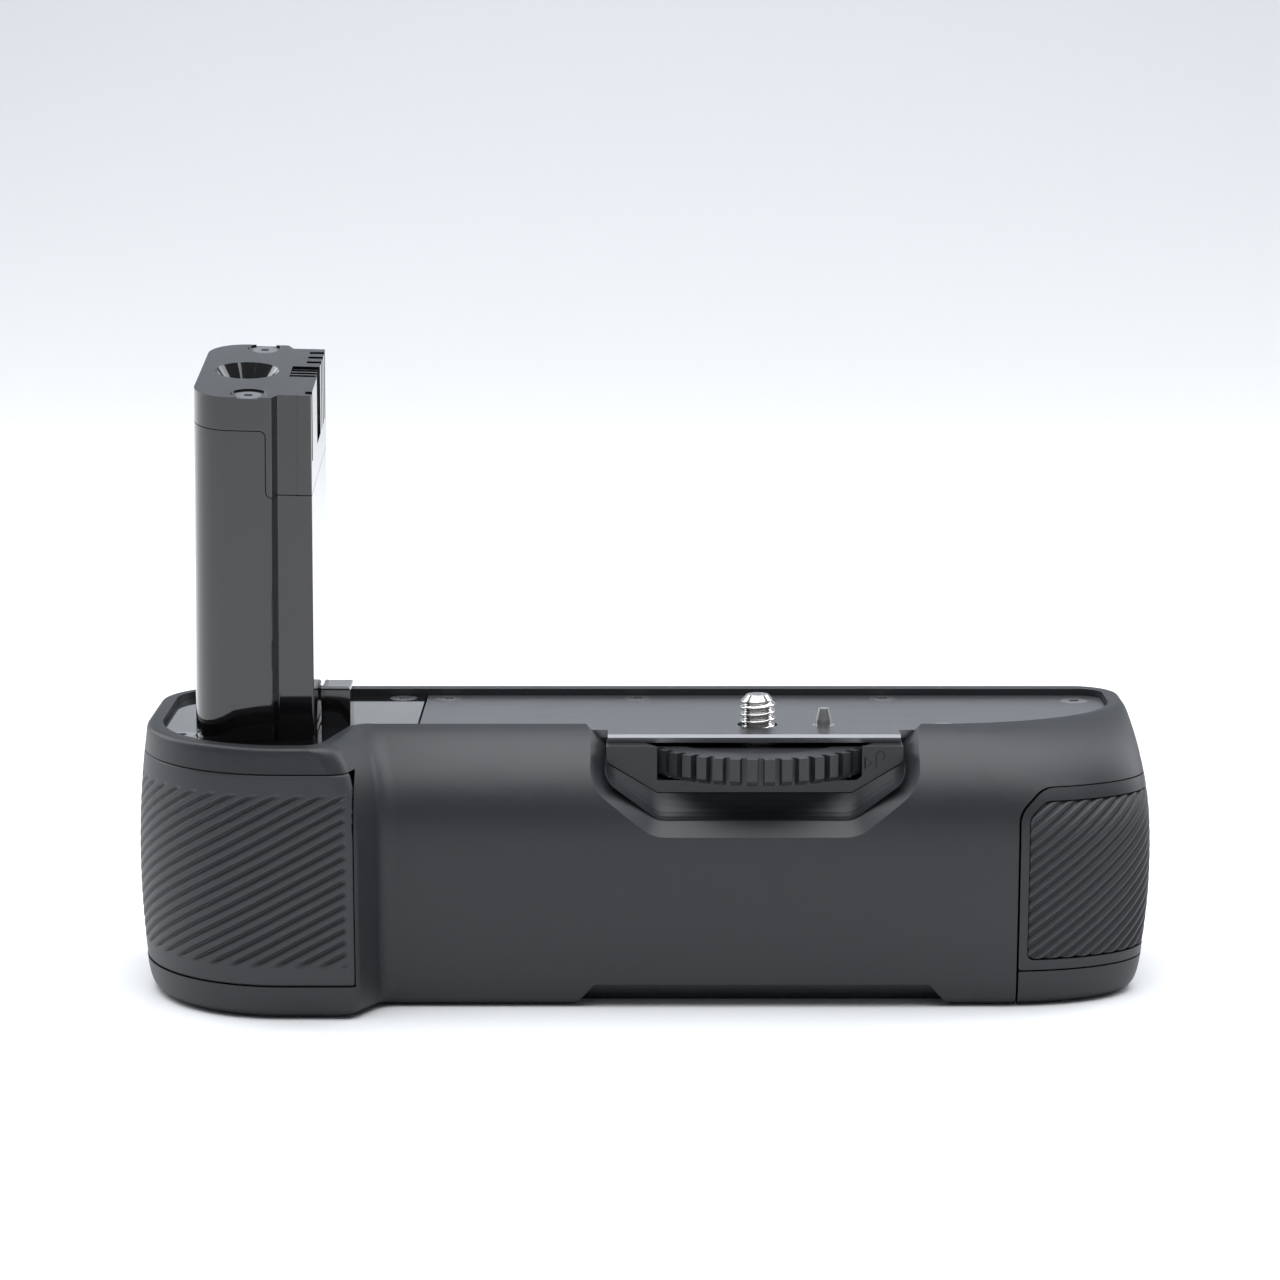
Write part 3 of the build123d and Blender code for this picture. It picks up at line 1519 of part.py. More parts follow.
with BuildPart() as tray_end_screws:
    for side in (-1, 1):
        with Locations(Location(
            (bay_outer_right, tray_y + side * end_boss_spread, end_boss_height), (0, -90, 0),
        )):
            add(end_screw)
tray_end_screws.part.label = "tray_end_screws"
export_step(tray_end_screws.part, "parts/tray_end_screws.step")


# Lower end piece under the tray end, with a tongue into the housing and the latch's slot
with BuildPart() as end_bumper:
    add(outer_form)
    block(
        (end_left, -main_front - overrun, 0), (right_end + overrun, back_reach + overrun, bumper_top),
        mode=Mode.INTERSECT,
    )
    block(
        (tongue_left, tunnel_front + seam, flange_top), (end_left, tunnel_back - seam, bumper_top),
    )
    block(
        (tongue_left - overrun, tray_y - runner_base_half, runner_base_floor),
        (runner_right, tray_y + runner_base_half, bumper_top + overrun),
        mode=Mode.SUBTRACT,
    )
    block(
        (latch_slot_left, latch_y - latch_slot_half, latch_floor_thickness),
        (latch_floor_right, latch_y + latch_slot_half, bumper_top + overrun),
        mode=Mode.SUBTRACT,
    )
    block(
        (latch_floor_right, latch_y - latch_slot_half, -overrun),
        (right_end + overrun, latch_y + latch_slot_half, bumper_top + overrun),
        mode=Mode.SUBTRACT,
    )
    with Locations(Location((latch_pivot_x, latch_y, latch_pivot_z), (90, 0, 0))):
        Cylinder(latch_pin_radius, 2 * latch_pin_half, mode=Mode.SUBTRACT)
    for x, y in bumper_screw_places:
        with Locations((x, y, 0)):
            add(board_screw_cut, mode=Mode.SUBTRACT)
end_bumper.part.label = "end_bumper"
export_step(end_bumper.part, "parts/end_bumper.step")

with BuildPart() as latch_pin:
    with Locations(Location((latch_pivot_x, latch_y, latch_pivot_z), (90, 0, 0))):
        Cylinder(latch_pin_radius, 2 * latch_pin_half)
latch_pin.part.label = "latch_pin"
export_step(latch_pin.part, "parts/latch_pin.step")

# Latch: a rocker whose nose holds the tray end, released by pushing its tab upwards
with BuildPart() as latch_lever:
    add(front_prism(
        [
            (latch_nose_left, latch_bar_floor), (latch_nose_left, latch_nose_top),
            (latch_nose_left + latch_nose_width / 2, latch_nose_top),
            (latch_nose_left + latch_nose_width, latch_bar_top), (latch_floor_right, latch_bar_top),
            (latch_tab_left + latch_nose_width, latch_tab_top), (latch_tab_right, latch_tab_top),
            (latch_tab_right, latch_tab_floor), (latch_tab_left, latch_tab_floor),
            (latch_floor_right + seam, latch_bar_floor),
        ],
        latch_y - latch_half, latch_y + latch_half,
    ))
    with Locations(Location((latch_pivot_x, latch_y, latch_pivot_z), (90, 0, 0))):
        Cylinder(latch_barrel_radius, 2 * latch_half)
        Cylinder(latch_pin_radius + bush_bore_gap, 2 * latch_slot_half, mode=Mode.SUBTRACT)
latch_lever.part.label = "latch_lever"
export_step(latch_lever.part, "parts/latch_lever.step")

# Coil spring that keeps the nose up: one wire, three turns
spring_height = latch_bar_floor - latch_floor_thickness - spring_wire
spring_foot = (
    latch_nose_left + latch_nose_width / 2, latch_y, latch_floor_thickness + spring_wire / 2,
)
with BuildPart() as latch_spring:
    with BuildLine():
        coil = Helix(
            pitch=spring_height / spring_turns, height=spring_height, radius=spring_radius,
            center=spring_foot,
        )
    with BuildSketch(Plane(origin=coil @ 0, z_dir=coil % 0)):
        Circle(spring_wire / 2)
    sweep(is_frenet=True)
latch_spring.part.label = "latch_spring"
export_step(latch_spring.part, "parts/latch_spring.step")
print("latch spring, gap between turns:", round(spring_height / spring_turns - spring_wire, 3), "mm")

with BuildPart() as bumper_screws:
    for x, y in bumper_screw_places:
        with Locations(Location((x, y, 0), (180, 0, 0))):
            add(board_screw)
bumper_screws.part.label = "bumper_screws"
export_step(bumper_screws.part, "parts/bumper_screws.step")
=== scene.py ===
# Camera battery grip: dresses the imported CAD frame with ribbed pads, a threaded screw,
# small signs and procedural finishes, and sets a pale stage round it. Metres.
import math

import bpy
import numpy as np
from bpy.props import FloatProperty, FloatVectorProperty, IntProperty, PointerProperty
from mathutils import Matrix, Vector


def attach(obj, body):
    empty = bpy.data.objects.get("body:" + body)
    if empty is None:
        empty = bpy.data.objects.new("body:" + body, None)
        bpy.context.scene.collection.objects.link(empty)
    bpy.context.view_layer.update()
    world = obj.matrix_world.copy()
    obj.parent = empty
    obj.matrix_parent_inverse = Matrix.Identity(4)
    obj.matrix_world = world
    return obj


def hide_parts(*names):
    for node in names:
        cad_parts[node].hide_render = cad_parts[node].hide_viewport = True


bl_info = {
    "name": "Camera battery grip",
    "version": (1, 0, 0),
    "blender": (4, 5, 0),
    "location": "3D View > Sidebar > Grip",
    "description": "Dresses the battery grip's CAD frame and its stage",
    "category": "Object",
}

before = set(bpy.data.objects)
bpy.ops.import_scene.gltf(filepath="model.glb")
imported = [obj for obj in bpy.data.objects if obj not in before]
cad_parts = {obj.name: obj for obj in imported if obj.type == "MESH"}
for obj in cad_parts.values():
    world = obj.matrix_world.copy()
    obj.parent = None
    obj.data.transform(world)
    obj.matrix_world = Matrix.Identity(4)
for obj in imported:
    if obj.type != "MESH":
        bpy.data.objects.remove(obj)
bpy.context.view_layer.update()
MM = 0.001


# Sizes and colours that a user would change
class GripSizes(bpy.types.PropertyGroup):
    rib_pitch: FloatProperty(
        name="Rib pitch", description="Height from one pad groove to the next, on a vertical line",
        default=2.15 * MM, unit="LENGTH", precision=5,
    )
    rib_depth: FloatProperty(
        name="Groove depth", description="Depth of the pads' grooves", default=0.6 * MM, unit="LENGTH",
        precision=5,
    )
    left_rise: FloatProperty(
        name="Handle rib rise", description="Angle at which the handle pad's grooves rise",
        default=math.radians(28.5), subtype="ANGLE",
    )
    right_rise: FloatProperty(
        name="End rib rise", description="Angle at which the end pad's ribs rise",
        default=math.radians(37), subtype="ANGLE",
    )
    thread_pitch: FloatProperty(
        name="Thread pitch", description="Pitch of the camera screw's thread", default=1.27 * MM,
        unit="LENGTH", precision=5,
    )
    thread_depth: FloatProperty(
        name="Thread depth", description="Depth of the camera screw's thread", default=0.62 * MM,
        unit="LENGTH", precision=5,
    )
    thread_steps: IntProperty(
        name="Thread steps", description="Steps round the camera screw", default=96, min=24,
    )


class GripColours(bpy.types.PropertyGroup):
    body: FloatVectorProperty(
        name="Body", description="Matt charcoal plastic of the body", subtype="COLOR", size=3,
        default=(0.016, 0.0175, 0.0205),
    )
    gloss: FloatVectorProperty(
        name="Gloss black", description="Gloss plastic of the dummy battery", subtype="COLOR", size=3,
        default=(0.006, 0.006, 0.0065),
    )
    plate: FloatVectorProperty(
        name="Plate", description="Brushed dark plate", subtype="COLOR", size=3,
        default=(0.150, 0.153, 0.162),
    )
    rubber: FloatVectorProperty(
        name="Rubber", description="Ribbed pads", subtype="COLOR", size=3, default=(0.026, 0.028, 0.031),
    )
    # Backdrop top: the sweep's colour higher up, greyer and bluer than the floor; painted shade of the light
    # falling off up the wall
    backdrop_top: FloatVectorProperty(
        name="Backdrop top", description="Pale grey at the top of the backdrop", subtype="COLOR", size=3,
        default=(0.83, 0.87, 0.91),
    )


# Shared helpers for meshes
def grid_faces(rows, columns, wrap=False):
    """Quads of a grid with its points in row order: each joins (r, c), (r, c+1), (r+1, c+1), (r+1, c)."""
    spans = columns if wrap else columns - 1
    row, column = np.meshgrid(np.arange(rows - 1), np.arange(spans), indexing="ij")
    after = (column + 1) % columns
    corners = [row * columns + column, row * columns + after,
               (row + 1) * columns + after, (row + 1) * columns + column]
    return np.stack([c.ravel() for c in corners], axis=1)


def new_piece(name, points, faces, body, material, smooth=True):
    """Makes a mesh object from arrays of points and faces, at the origin, riding on a body."""
    mesh = bpy.data.meshes.new(name)
    mesh.from_pydata(np.asarray(points, float).tolist(), [], [list(f) for f in faces])
    mesh.update()
    mesh.polygons.foreach_set("use_smooth", np.full(len(mesh.polygons), smooth))
    piece = bpy.data.objects.new(name, mesh)
    bpy.context.collection.objects.link(piece)
    mesh.materials.append(material)
    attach(piece, body)
    return piece


# Shared shader effects, each a node group with named inputs and outputs
def effect_group(name, inputs, outputs):
    """An empty shader group with float or colour sockets; inputs and outputs map a name to a default."""
    group = bpy.data.node_groups.new(name, "ShaderNodeTree")
    for words, direction in ((inputs, "INPUT"), (outputs, "OUTPUT")):
        for label, value in words.items():
            kind = "NodeSocketColor" if isinstance(value, tuple) else "NodeSocketFloat"
            socket = group.interface.new_socket(label, in_out=direction, socket_type=kind)
            if direction == "INPUT":
                socket.default_value = value
    enter = group.nodes.new("NodeGroupInput")
    leave = group.nodes.new("NodeGroupOutput")
    return group, enter, leave


def add_node(tree, kind, **settings):
    """A node with its own settings given by name, and its input values by socket name in 'values'."""
    node = tree.nodes.new(kind)
    values = settings.pop("values", {})
    for key, value in settings.items():
        setattr(node, key, value)
    for key, value in values.items():
        node.inputs[key].default_value = value
    return node


def noise(tree, scale, detail=3.0, roughness=0.5):
    """A noise texture on Object coordinates."""
    place = add_node(tree, "ShaderNodeTexCoord")
    texture = add_node(tree, "ShaderNodeTexNoise", values={"Detail": detail, "Roughness": roughness})
    tree.links.new(place.outputs["Object"], texture.inputs["Vector"])
    if isinstance(scale, float):
        texture.inputs["Scale"].default_value = scale
    else:
        tree.links.new(scale, texture.inputs["Scale"])
    return texture


def grain_effect():
    """Moulded grain: fine noise over slightly coarser cells, as a height from 0 to 1."""
    group, enter, leave = effect_group("Moulded grain", {"Scale": 2500.0, "Cells": 0.5}, {"Height": 0.0})
    fine = noise(group, enter.outputs["Scale"], 2.0, 0.6)
    place = add_node(group, "ShaderNodeTexCoord")
    cells = add_node(group, "ShaderNodeTexVoronoi", feature="SMOOTH_F1", values={"Smoothness": 0.6})
    group.links.new(place.outputs["Object"], cells.inputs["Vector"])
    group.links.new(enter.outputs["Scale"], cells.inputs["Scale"])
    mix = add_node(group, "ShaderNodeMix")
    group.links.new(enter.outputs["Cells"], mix.inputs["Factor"])
    group.links.new(fine.outputs["Fac"], mix.inputs["A"])
    group.links.new(cells.outputs["Distance"], mix.inputs["B"])
    group.links.new(mix.outputs["Result"], leave.inputs["Height"])
    return group


def mottle_effect():
    """Handling marks: broad noise that shifts a colour towards a paler one and a roughness up and down."""
    group, enter, leave = effect_group(
        "Handling marks",
        {"Colour": (0.1, 0.1, 0.1, 1.0), "Paler": (0.2, 0.2, 0.2, 1.0), "Scale": 60.0, "Amount": 0.3,
         "Roughness": 0.5, "Roughness change": 0.1},
        {"Colour": (0.0, 0.0, 0.0, 1.0), "Roughness": 0.0},
    )
    broad = noise(group, enter.outputs["Scale"], 4.0, 0.6)
    spread = add_node(group, "ShaderNodeMapRange", values={"From Min": 0.35, "From Max": 0.75})
    group.links.new(broad.outputs["Fac"], spread.inputs["Value"])
    share = add_node(group, "ShaderNodeMath", operation="MULTIPLY")
    group.links.new(spread.outputs["Result"], share.inputs[0])
    group.links.new(enter.outputs["Amount"], share.inputs[1])
    blend = add_node(group, "ShaderNodeMix", data_type="RGBA")
    group.links.new(share.outputs[0], blend.inputs["Factor"])
    group.links.new(enter.outputs["Colour"], blend.inputs["A"])
    group.links.new(enter.outputs["Paler"], blend.inputs["B"])
    swing = add_node(group, "ShaderNodeMath", operation="SUBTRACT", values={1: 0.5})
    group.links.new(broad.outputs["Fac"], swing.inputs[0])
    change = add_node(group, "ShaderNodeMath", operation="MULTIPLY_ADD")
    group.links.new(swing.outputs[0], change.inputs[0])
    group.links.new(enter.outputs["Roughness change"], change.inputs[1])
    group.links.new(enter.outputs["Roughness"], change.inputs[2])
    group.links.new(blend.outputs["Result"], leave.inputs["Colour"])
    group.links.new(change.outputs[0], leave.inputs["Roughness"])
    return group


def brushed_effect():
    """Brush lines: noise drawn out along X, as a height and as a shift of roughness."""
    group, enter, leave = effect_group(
        "Brush lines", {"Fineness": 4000.0, "Drawn out": 0.01, "Roughness": 0.3, "Roughness change": 0.1},
        {"Height": 0.0, "Roughness": 0.0},
    )
    place = add_node(group, "ShaderNodeTexCoord")
    split = add_node(group, "ShaderNodeSeparateXYZ")
    join = add_node(group, "ShaderNodeCombineXYZ")
    group.links.new(place.outputs["Object"], split.inputs[0])
    shrink = add_node(group, "ShaderNodeMath", operation="MULTIPLY")
    group.links.new(split.outputs["X"], shrink.inputs[0])
    group.links.new(enter.outputs["Drawn out"], shrink.inputs[1])
    group.links.new(shrink.outputs[0], join.inputs["X"])
    group.links.new(split.outputs["Y"], join.inputs["Y"])
    group.links.new(split.outputs["Z"], join.inputs["Z"])
    lines = add_node(group, "ShaderNodeTexNoise", values={"Detail": 4.0, "Roughness": 0.7})
    group.links.new(join.outputs[0], lines.inputs["Vector"])
    group.links.new(enter.outputs["Fineness"], lines.inputs["Scale"])
    change = add_node(group, "ShaderNodeMath", operation="MULTIPLY_ADD")
    group.links.new(lines.outputs["Fac"], change.inputs[0])
    group.links.new(enter.outputs["Roughness change"], change.inputs[1])
    group.links.new(enter.outputs["Roughness"], change.inputs[2])
    group.links.new(lines.outputs["Fac"], leave.inputs["Height"])
    group.links.new(change.outputs[0], leave.inputs["Roughness"])
    return group


def effect(name):
    """The shared group of that name, built when first asked for."""
    makers = {"Moulded grain": grain_effect, "Handling marks": mottle_effect, "Brush lines": brushed_effect}
    return bpy.data.node_groups.get(name) or makers[name]()


def finish(name, colour, paler, roughness, change=0.08, mottle=70.0, amount=0.35, grain=2500.0, cells=0.5,
           bump=0.1, depth=0.00004, brushed=0.0, **shader):
    """A material: handling marks drive colour and roughness, and grain or brush lines drive the bump."""
    made = bpy.data.materials.get(name)
    if made:
        return made
    made = bpy.data.materials.new(name)
    made.use_nodes = True
    tree = made.node_tree
    surface = tree.nodes["Principled BSDF"]
    for socket, value in shader.items():
        surface.inputs[socket.replace("_", " ")].default_value = value
    marks = add_node(tree, "ShaderNodeGroup", node_tree=effect("Handling marks"), values={
        "Colour": (*colour, 1.0), "Paler": (*paler, 1.0), "Scale": mottle, "Amount": amount,
        "Roughness": roughness, "Roughness change": change,
    })
    tree.links.new(marks.outputs["Colour"], surface.inputs["Base Color"])
    relief = add_node(tree, "ShaderNodeBump", values={"Strength": bump, "Distance": depth})
    if brushed > 0:
        lines = add_node(tree, "ShaderNodeGroup", node_tree=effect("Brush lines"), values={
            "Fineness": brushed, "Roughness": roughness, "Roughness change": change,
        })
        tree.links.new(lines.outputs["Height"], relief.inputs["Height"])
        tree.links.new(lines.outputs["Roughness"], surface.inputs["Roughness"])
    else:
        tree.links.new(marks.outputs["Roughness"], surface.inputs["Roughness"])
        moulded = add_node(tree, "ShaderNodeGroup", node_tree=effect("Moulded grain"), values={
            "Scale": grain, "Cells": cells,
        })
        tree.links.new(moulded.outputs["Height"], relief.inputs["Height"])
    tree.links.new(relief.outputs["Normal"], surface.inputs["Normal"])
    return made


def charcoal():
    base = tuple(bpy.context.scene.grip_colours.body)
    return finish("Soft charcoal plastic", base, tuple(c * 1.25 for c in base), 0.47, grain=3200.0, bump=0.25)


def gloss_black():
    base = tuple(bpy.context.scene.grip_colours.gloss)
    return finish("Gloss black plastic", base, tuple(c * 1.6 for c in base), 0.07, change=0.04, mottle=35.0,
                  grain=700.0, cells=0.1, bump=0.02, Coat_Weight=0.5, Coat_Roughness=0.03)


def dark_plate():
    base = tuple(bpy.context.scene.grip_colours.plate)
    return finish("Brushed dark plate", base, tuple(c * 1.2 for c in base), 0.26, change=0.12,
                  brushed=3500.0, bump=0.12, depth=0.00002, Metallic=0.85)


def pad_rubber():
    base = tuple(bpy.context.scene.grip_colours.rubber)
    return finish("Ribbed rubber", base, tuple(c * 1.3 for c in base), 0.52, grain=2600.0, bump=0.3)


def black_plastic():
    return finish("Matt black plastic", (0.014, 0.0145, 0.016), (0.02, 0.021, 0.023), 0.38, grain=2200.0,
                  bump=0.2)


def wheel_plastic():
    return finish("Wheel plastic", (0.022, 0.023, 0.025), (0.03, 0.031, 0.034), 0.36, grain=2800.0, bump=0.2)


def nickel():
    return finish("Bright nickel", (0.58, 0.57, 0.55), (0.68, 0.67, 0.65), 0.14, change=0.1, mottle=400.0,
                  grain=1500.0, cells=0.1, bump=0.05, Metallic=1.0)


def grey_steel():
    return finish("Grey steel", (0.46, 0.46, 0.47), (0.56, 0.56, 0.57), 0.26, mottle=500.0, grain=3000.0,
                  bump=0.1, Metallic=0.95)


def plain_steel():
    return finish("Plain steel", (0.42, 0.42, 0.42), (0.52, 0.52, 0.52), 0.28, mottle=400.0, brushed=6000.0,
                  bump=0.1, depth=0.00002, Metallic=1.0)


def gold_contact():
    return finish("Gold contacts", (0.82, 0.60, 0.25), (0.9, 0.7, 0.36), 0.2, mottle=600.0, brushed=7000.0,
                  bump=0.06, depth=0.00002, Metallic=1.0)


def green_board():
    return finish("Circuit board", (0.012, 0.075, 0.035), (0.02, 0.11, 0.05), 0.3, mottle=300.0, amount=0.8,
                  grain=900.0, cells=0.7, bump=0.15)


def amber_film():
    return finish("Amber film", (0.35, 0.15, 0.02), (0.5, 0.24, 0.05), 0.22, mottle=200.0, grain=500.0,
                  bump=0.05)


def coil_spring_steel():
    return finish("Spring steel", (0.5, 0.5, 0.5), (0.62, 0.62, 0.62), 0.22, mottle=900.0, grain=5000.0,
                  bump=0.05, Metallic=1.0)


NODE_FINISHES = {
    charcoal: ["main_housing", "base_cover", "end_bumper", "tray_end"],
    gloss_black: ["stalk_shell", "stalk_cap", "stalk_base_insert"],
    dark_plate: ["top_plate"],
    pad_rubber: ["handle_grip_pad", "tray_end_pad"],
    black_plastic: ["wheel_bracket", "battery_tray", "bay_contact_blocks", "tray_plug",
                    "dock_connector", "latch_lever"],
    wheel_plastic: ["screw_wheel"],
    nickel: ["camera_screw", "tripod_bush"],
    grey_steel: ["top_plate_screws", "insert_screws", "stalk_cap_screws"],
    plain_steel: ["base_screws", "bumper_screws", "tray_end_screws", "board_screws", "locating_pin",
                  "thrust_washer", "retaining_clip", "tray_runner", "latch_pin"],
    coil_spring_steel: ["latch_spring"],
    gold_contact: ["bay_contacts", "dock_pins", "stalk_contacts"],
    green_board: ["power_board", "stalk_board"],
    amber_film: ["tray_flex"],
}


# The grip's outer form, as its CAD source gives it, in millimetres: the rim's height, the height up to
# which the walls stand at their fullest, and the height where the ends are longest
RIM, FULL, DRAW_LEVEL = 48.2, 31.0, 24.0


def swell(level):
    """Share of the way from the rim's outline to the full one: a quarter ellipse above the full level."""
    low_turn, low_swell = math.cos(math.radians(15)), math.sin(math.radians(15))
    rise = np.clip((level - FULL) / (RIM - FULL), 0, 1)
    return (np.sqrt(1 - (rise * low_turn) ** 2) - low_swell) / (1 - low_swell)


def form_sizes(level):
    """Front, handle front, right end, left end, and the right corner's run and depth at a level."""
    grown = swell(level)
    low = np.clip(1 - level / FULL, 0, 1) ** 2
    high = np.clip((level - FULL) / (RIM - FULL), 0, 1) ** 2
    end = ((level - DRAW_LEVEL) / (RIM - DRAW_LEVEL)) ** 2
    front = 5.5 + 14.9 * grown - 1.6 * low
    handle = 28.9 - 1.2 * high - 1.6 * low
    return front, handle, 69.8 - 2.4 * end, 110.4 - 1.8 * end, 35.5 - 9.7 * grown, 24.0 - 9.0 * grown, grown


def right_outline(level, start):
    """Outline from the quarter ellipse at x = start, round the right end, to the back at x = start: the
    ellipse, a straight, a quarter circle of 8 mm and a straight."""
    front, _, right, _, run, depth, _ = form_sizes(level)
    x0, y0 = right - run, depth - front
    turn = np.linspace(math.asin((start - x0) / run), math.pi / 2, 60)
    pieces = [
        np.stack([x0 + run * np.sin(turn), y0 - depth * np.cos(turn)], 1),
        np.stack([np.full(12, right), np.linspace(y0, 24.0, 12)], 1),
        np.stack([right - 8 + 8 * np.cos(turn), 24 + 8 * np.sin(turn)], 1),
        np.stack([np.linspace(right - 8, start, 12), np.full(12, 32.0)], 1),
    ]
    return np.concatenate(pieces)


def left_outline(level, start, back_start):
    """Outline from the handle's front at x = start, round the left end, to the back at x = back_start:
    a straight, a quarter ellipse, a straight, a quarter circle of 14 mm and a straight."""
    _, handle, _, left, _, _, grown = form_sizes(level)
    turn = np.linspace(0, math.pi / 2, 80)
    run = left - 82.6
    corner_x = -74.2 + 4.0 * grown
    radius = 5.0 - 2.4 * grown
    bend = math.atan2(4.7, handle - form_sizes(level)[0])
    reach = radius * math.tan((math.pi / 2 - bend) / 2)
    sweep = np.linspace(math.pi / 2 - bend, 0, 14)
    pieces = [
        np.stack([corner_x - reach + radius * np.sin(sweep), radius - handle - radius * np.cos(sweep)], 1),
        np.stack([np.linspace(corner_x - reach, -82.6, 12), np.full(12, -handle)], 1),
        np.stack([-82.6 - run * np.sin(turn), -handle * np.cos(turn)], 1),
        np.stack([np.full(12, -left), np.linspace(0, 18.0, 12)], 1),
        np.stack([14 - left - 14 * np.cos(turn), 18 + 14 * np.sin(turn)], 1),
        np.stack([np.linspace(14 - left, back_start, 12), np.full(12, 32.0)], 1),
    ]
    line = np.concatenate(pieces)
    return line[line[:, 0] <= start + 1e-6]


def even_line(line, count, side):
    """Points at equal steps along a line, with each one's distance from the start and its normal, which
    points to the right of the line for side 1 and to its left for side -1."""
    step = np.hypot(*np.diff(line, axis=0).T)
    keep = np.concatenate([[True], step > 1e-6])
    line = line[keep]
    along = np.concatenate([[0], np.cumsum(np.hypot(*np.diff(line, axis=0).T))])
    places = np.linspace(0, along[-1], count)
    x, y = np.interp(places, along, line[:, 0]), np.interp(places, along, line[:, 1])
    gx, gy = np.gradient(x), np.gradient(y)
    size = np.hypot(gx, gy) * side
    return x, y, places, gy / size, -gx / size


def pad_shell(lines, levels, relief, thickness):
    """A closed sleeve: outer grid of points moved in by the relief, inner grid moved in by the thickness,
    joined round its edge. lines holds (x, y, distance, normal x, normal y) for each level."""
    rows, columns = len(levels), len(lines[0][0])
    x, y, _, nx, ny = (np.array([line[i] for line in lines]) for i in range(5))
    z = np.repeat(np.asarray(levels)[:, None], columns, 1)
    outer = np.stack([x - nx * relief, y - ny * relief, z], -1)
    inner = np.stack([x - nx * thickness, y - ny * thickness, z], -1)
    points = np.concatenate([outer.reshape(-1, 3), inner.reshape(-1, 3)]) * MM
    faces = grid_faces(rows, columns)
    count = rows * columns
    index = np.arange(count).reshape(rows, columns)
    edge = np.concatenate([index[0, :], index[1:, -1], index[-1, -2::-1], index[-2:0:-1, 0]])
    after = np.roll(edge, -1)
    rim = np.stack([edge, edge + count, after + count, after], 1)
    return points, np.concatenate([faces, faces[:, ::-1] + count, rim])


def corner_shift(rise, cut, radius):
    """How far inwards a corner cut at 45 degrees lies at a height above the cut's start, with both ends of
    the cut rounded: nothing, an arc, the slope, an arc."""
    reach = radius * math.tan(math.pi / 8)
    if rise <= -reach:
        return 0.0
    if rise <= radius * math.sin(math.pi / 4) - reach:
        return radius - math.sqrt(radius**2 - (rise + reach) ** 2)
    if rise <= cut + reach - radius * math.sin(math.pi / 4):
        return rise
    return cut + reach - math.sqrt(radius**2 - (rise - cut + radius) ** 2)


def groove_profile(phase, width):
    """Depth share of a groove across its pitch: 1 at its middle, 0 over the land, with a cosine flank."""
    gap = np.abs(phase - np.round(phase))
    return 0.5 + 0.5 * np.cos(np.clip(gap / width, 0, 1) * math.pi)


class GRIP_OT_end_pad(bpy.types.Operator):
    """Ribbed pad round the right end."""

    bl_idname = "grip.end_pad"
    bl_label = "End pad"

    def execute(self, context):
        sizes = context.scene.grip_sizes
        pitch, depth = sizes.rib_pitch / MM, sizes.rib_depth / MM
        rise = math.tan(sizes.right_rise)
        floor, top, left, cut = 8.8, 36.9, 47.0, 2.8
        levels = np.linspace(floor, top, 170)
        lines, start_shift = [], []
        for level in levels:
            low = max(0.0, 1.2 - (level - floor))
            shift = max(corner_shift(level - (top - cut), cut, 2.6), 1.2 - math.sqrt(1.44 - low**2))
            lines.append(even_line(right_outline(level, left + shift), 420, 1))
            start_shift.append(shift)
        along = np.array([line[2] for line in lines]) + np.array(start_shift)[:, None]
        height = np.repeat(levels[:, None], along.shape[1], 1)
        phase = (height - along * rise) / pitch
        groove = groove_profile(phase, 0.46)
        edge = np.minimum.reduce([height - floor, top - height])
        relief = depth * groove**1.3 + 0.25 * np.clip(1 - edge / 0.35, 0, 1) ** 2
        points, faces = pad_shell(lines, levels, relief, 1.15)
        piece = new_piece("end_pad_ribs", points, faces, "tray", pad_rubber())
        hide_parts("tray_end_pad")
        return {"FINISHED"}


class GRIP_OT_handle_pad(bpy.types.Operator):
    """Grooved pad round the handle."""

    bl_idname = "grip.handle_pad"
    bl_label = "Handle pad"

    def execute(self, context):
        sizes = context.scene.grip_sizes
        pitch, depth = sizes.rib_pitch / MM, sizes.rib_depth / MM
        rise = math.tan(sizes.left_rise)
        floor, top, start, back_start = 6.2, 43.6, -70.3, -80.0
        levels = np.linspace(floor, top, 210)
        lines = [even_line(left_outline(level, start, back_start), 520, -1) for level in levels]
        along = np.array([line[2] for line in lines])
        height = np.repeat(levels[:, None], along.shape[1], 1)
        phase = (height + along * rise) / pitch
        margin = np.minimum.reduce([height - floor, top - height]) - 3.4
        ends = np.minimum(along - 1.2, along.max(axis=1, keepdims=True) - along - 3.0)
        inside = np.clip(np.minimum(margin, ends) / 0.8, 0, 1)
        groove = groove_profile(phase, 0.30) * inside
        edge = np.minimum.reduce([height - floor, top - height])
        relief = depth * groove + 0.3 * np.clip(1 - edge / 0.4, 0, 1) ** 2
        points, faces = pad_shell(lines, levels, relief, 1.35)
        piece = new_piece("handle_pad_grooves", points, faces[:, ::-1], "grip", pad_rubber())
        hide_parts("handle_grip_pad")
        return {"FINISHED"}


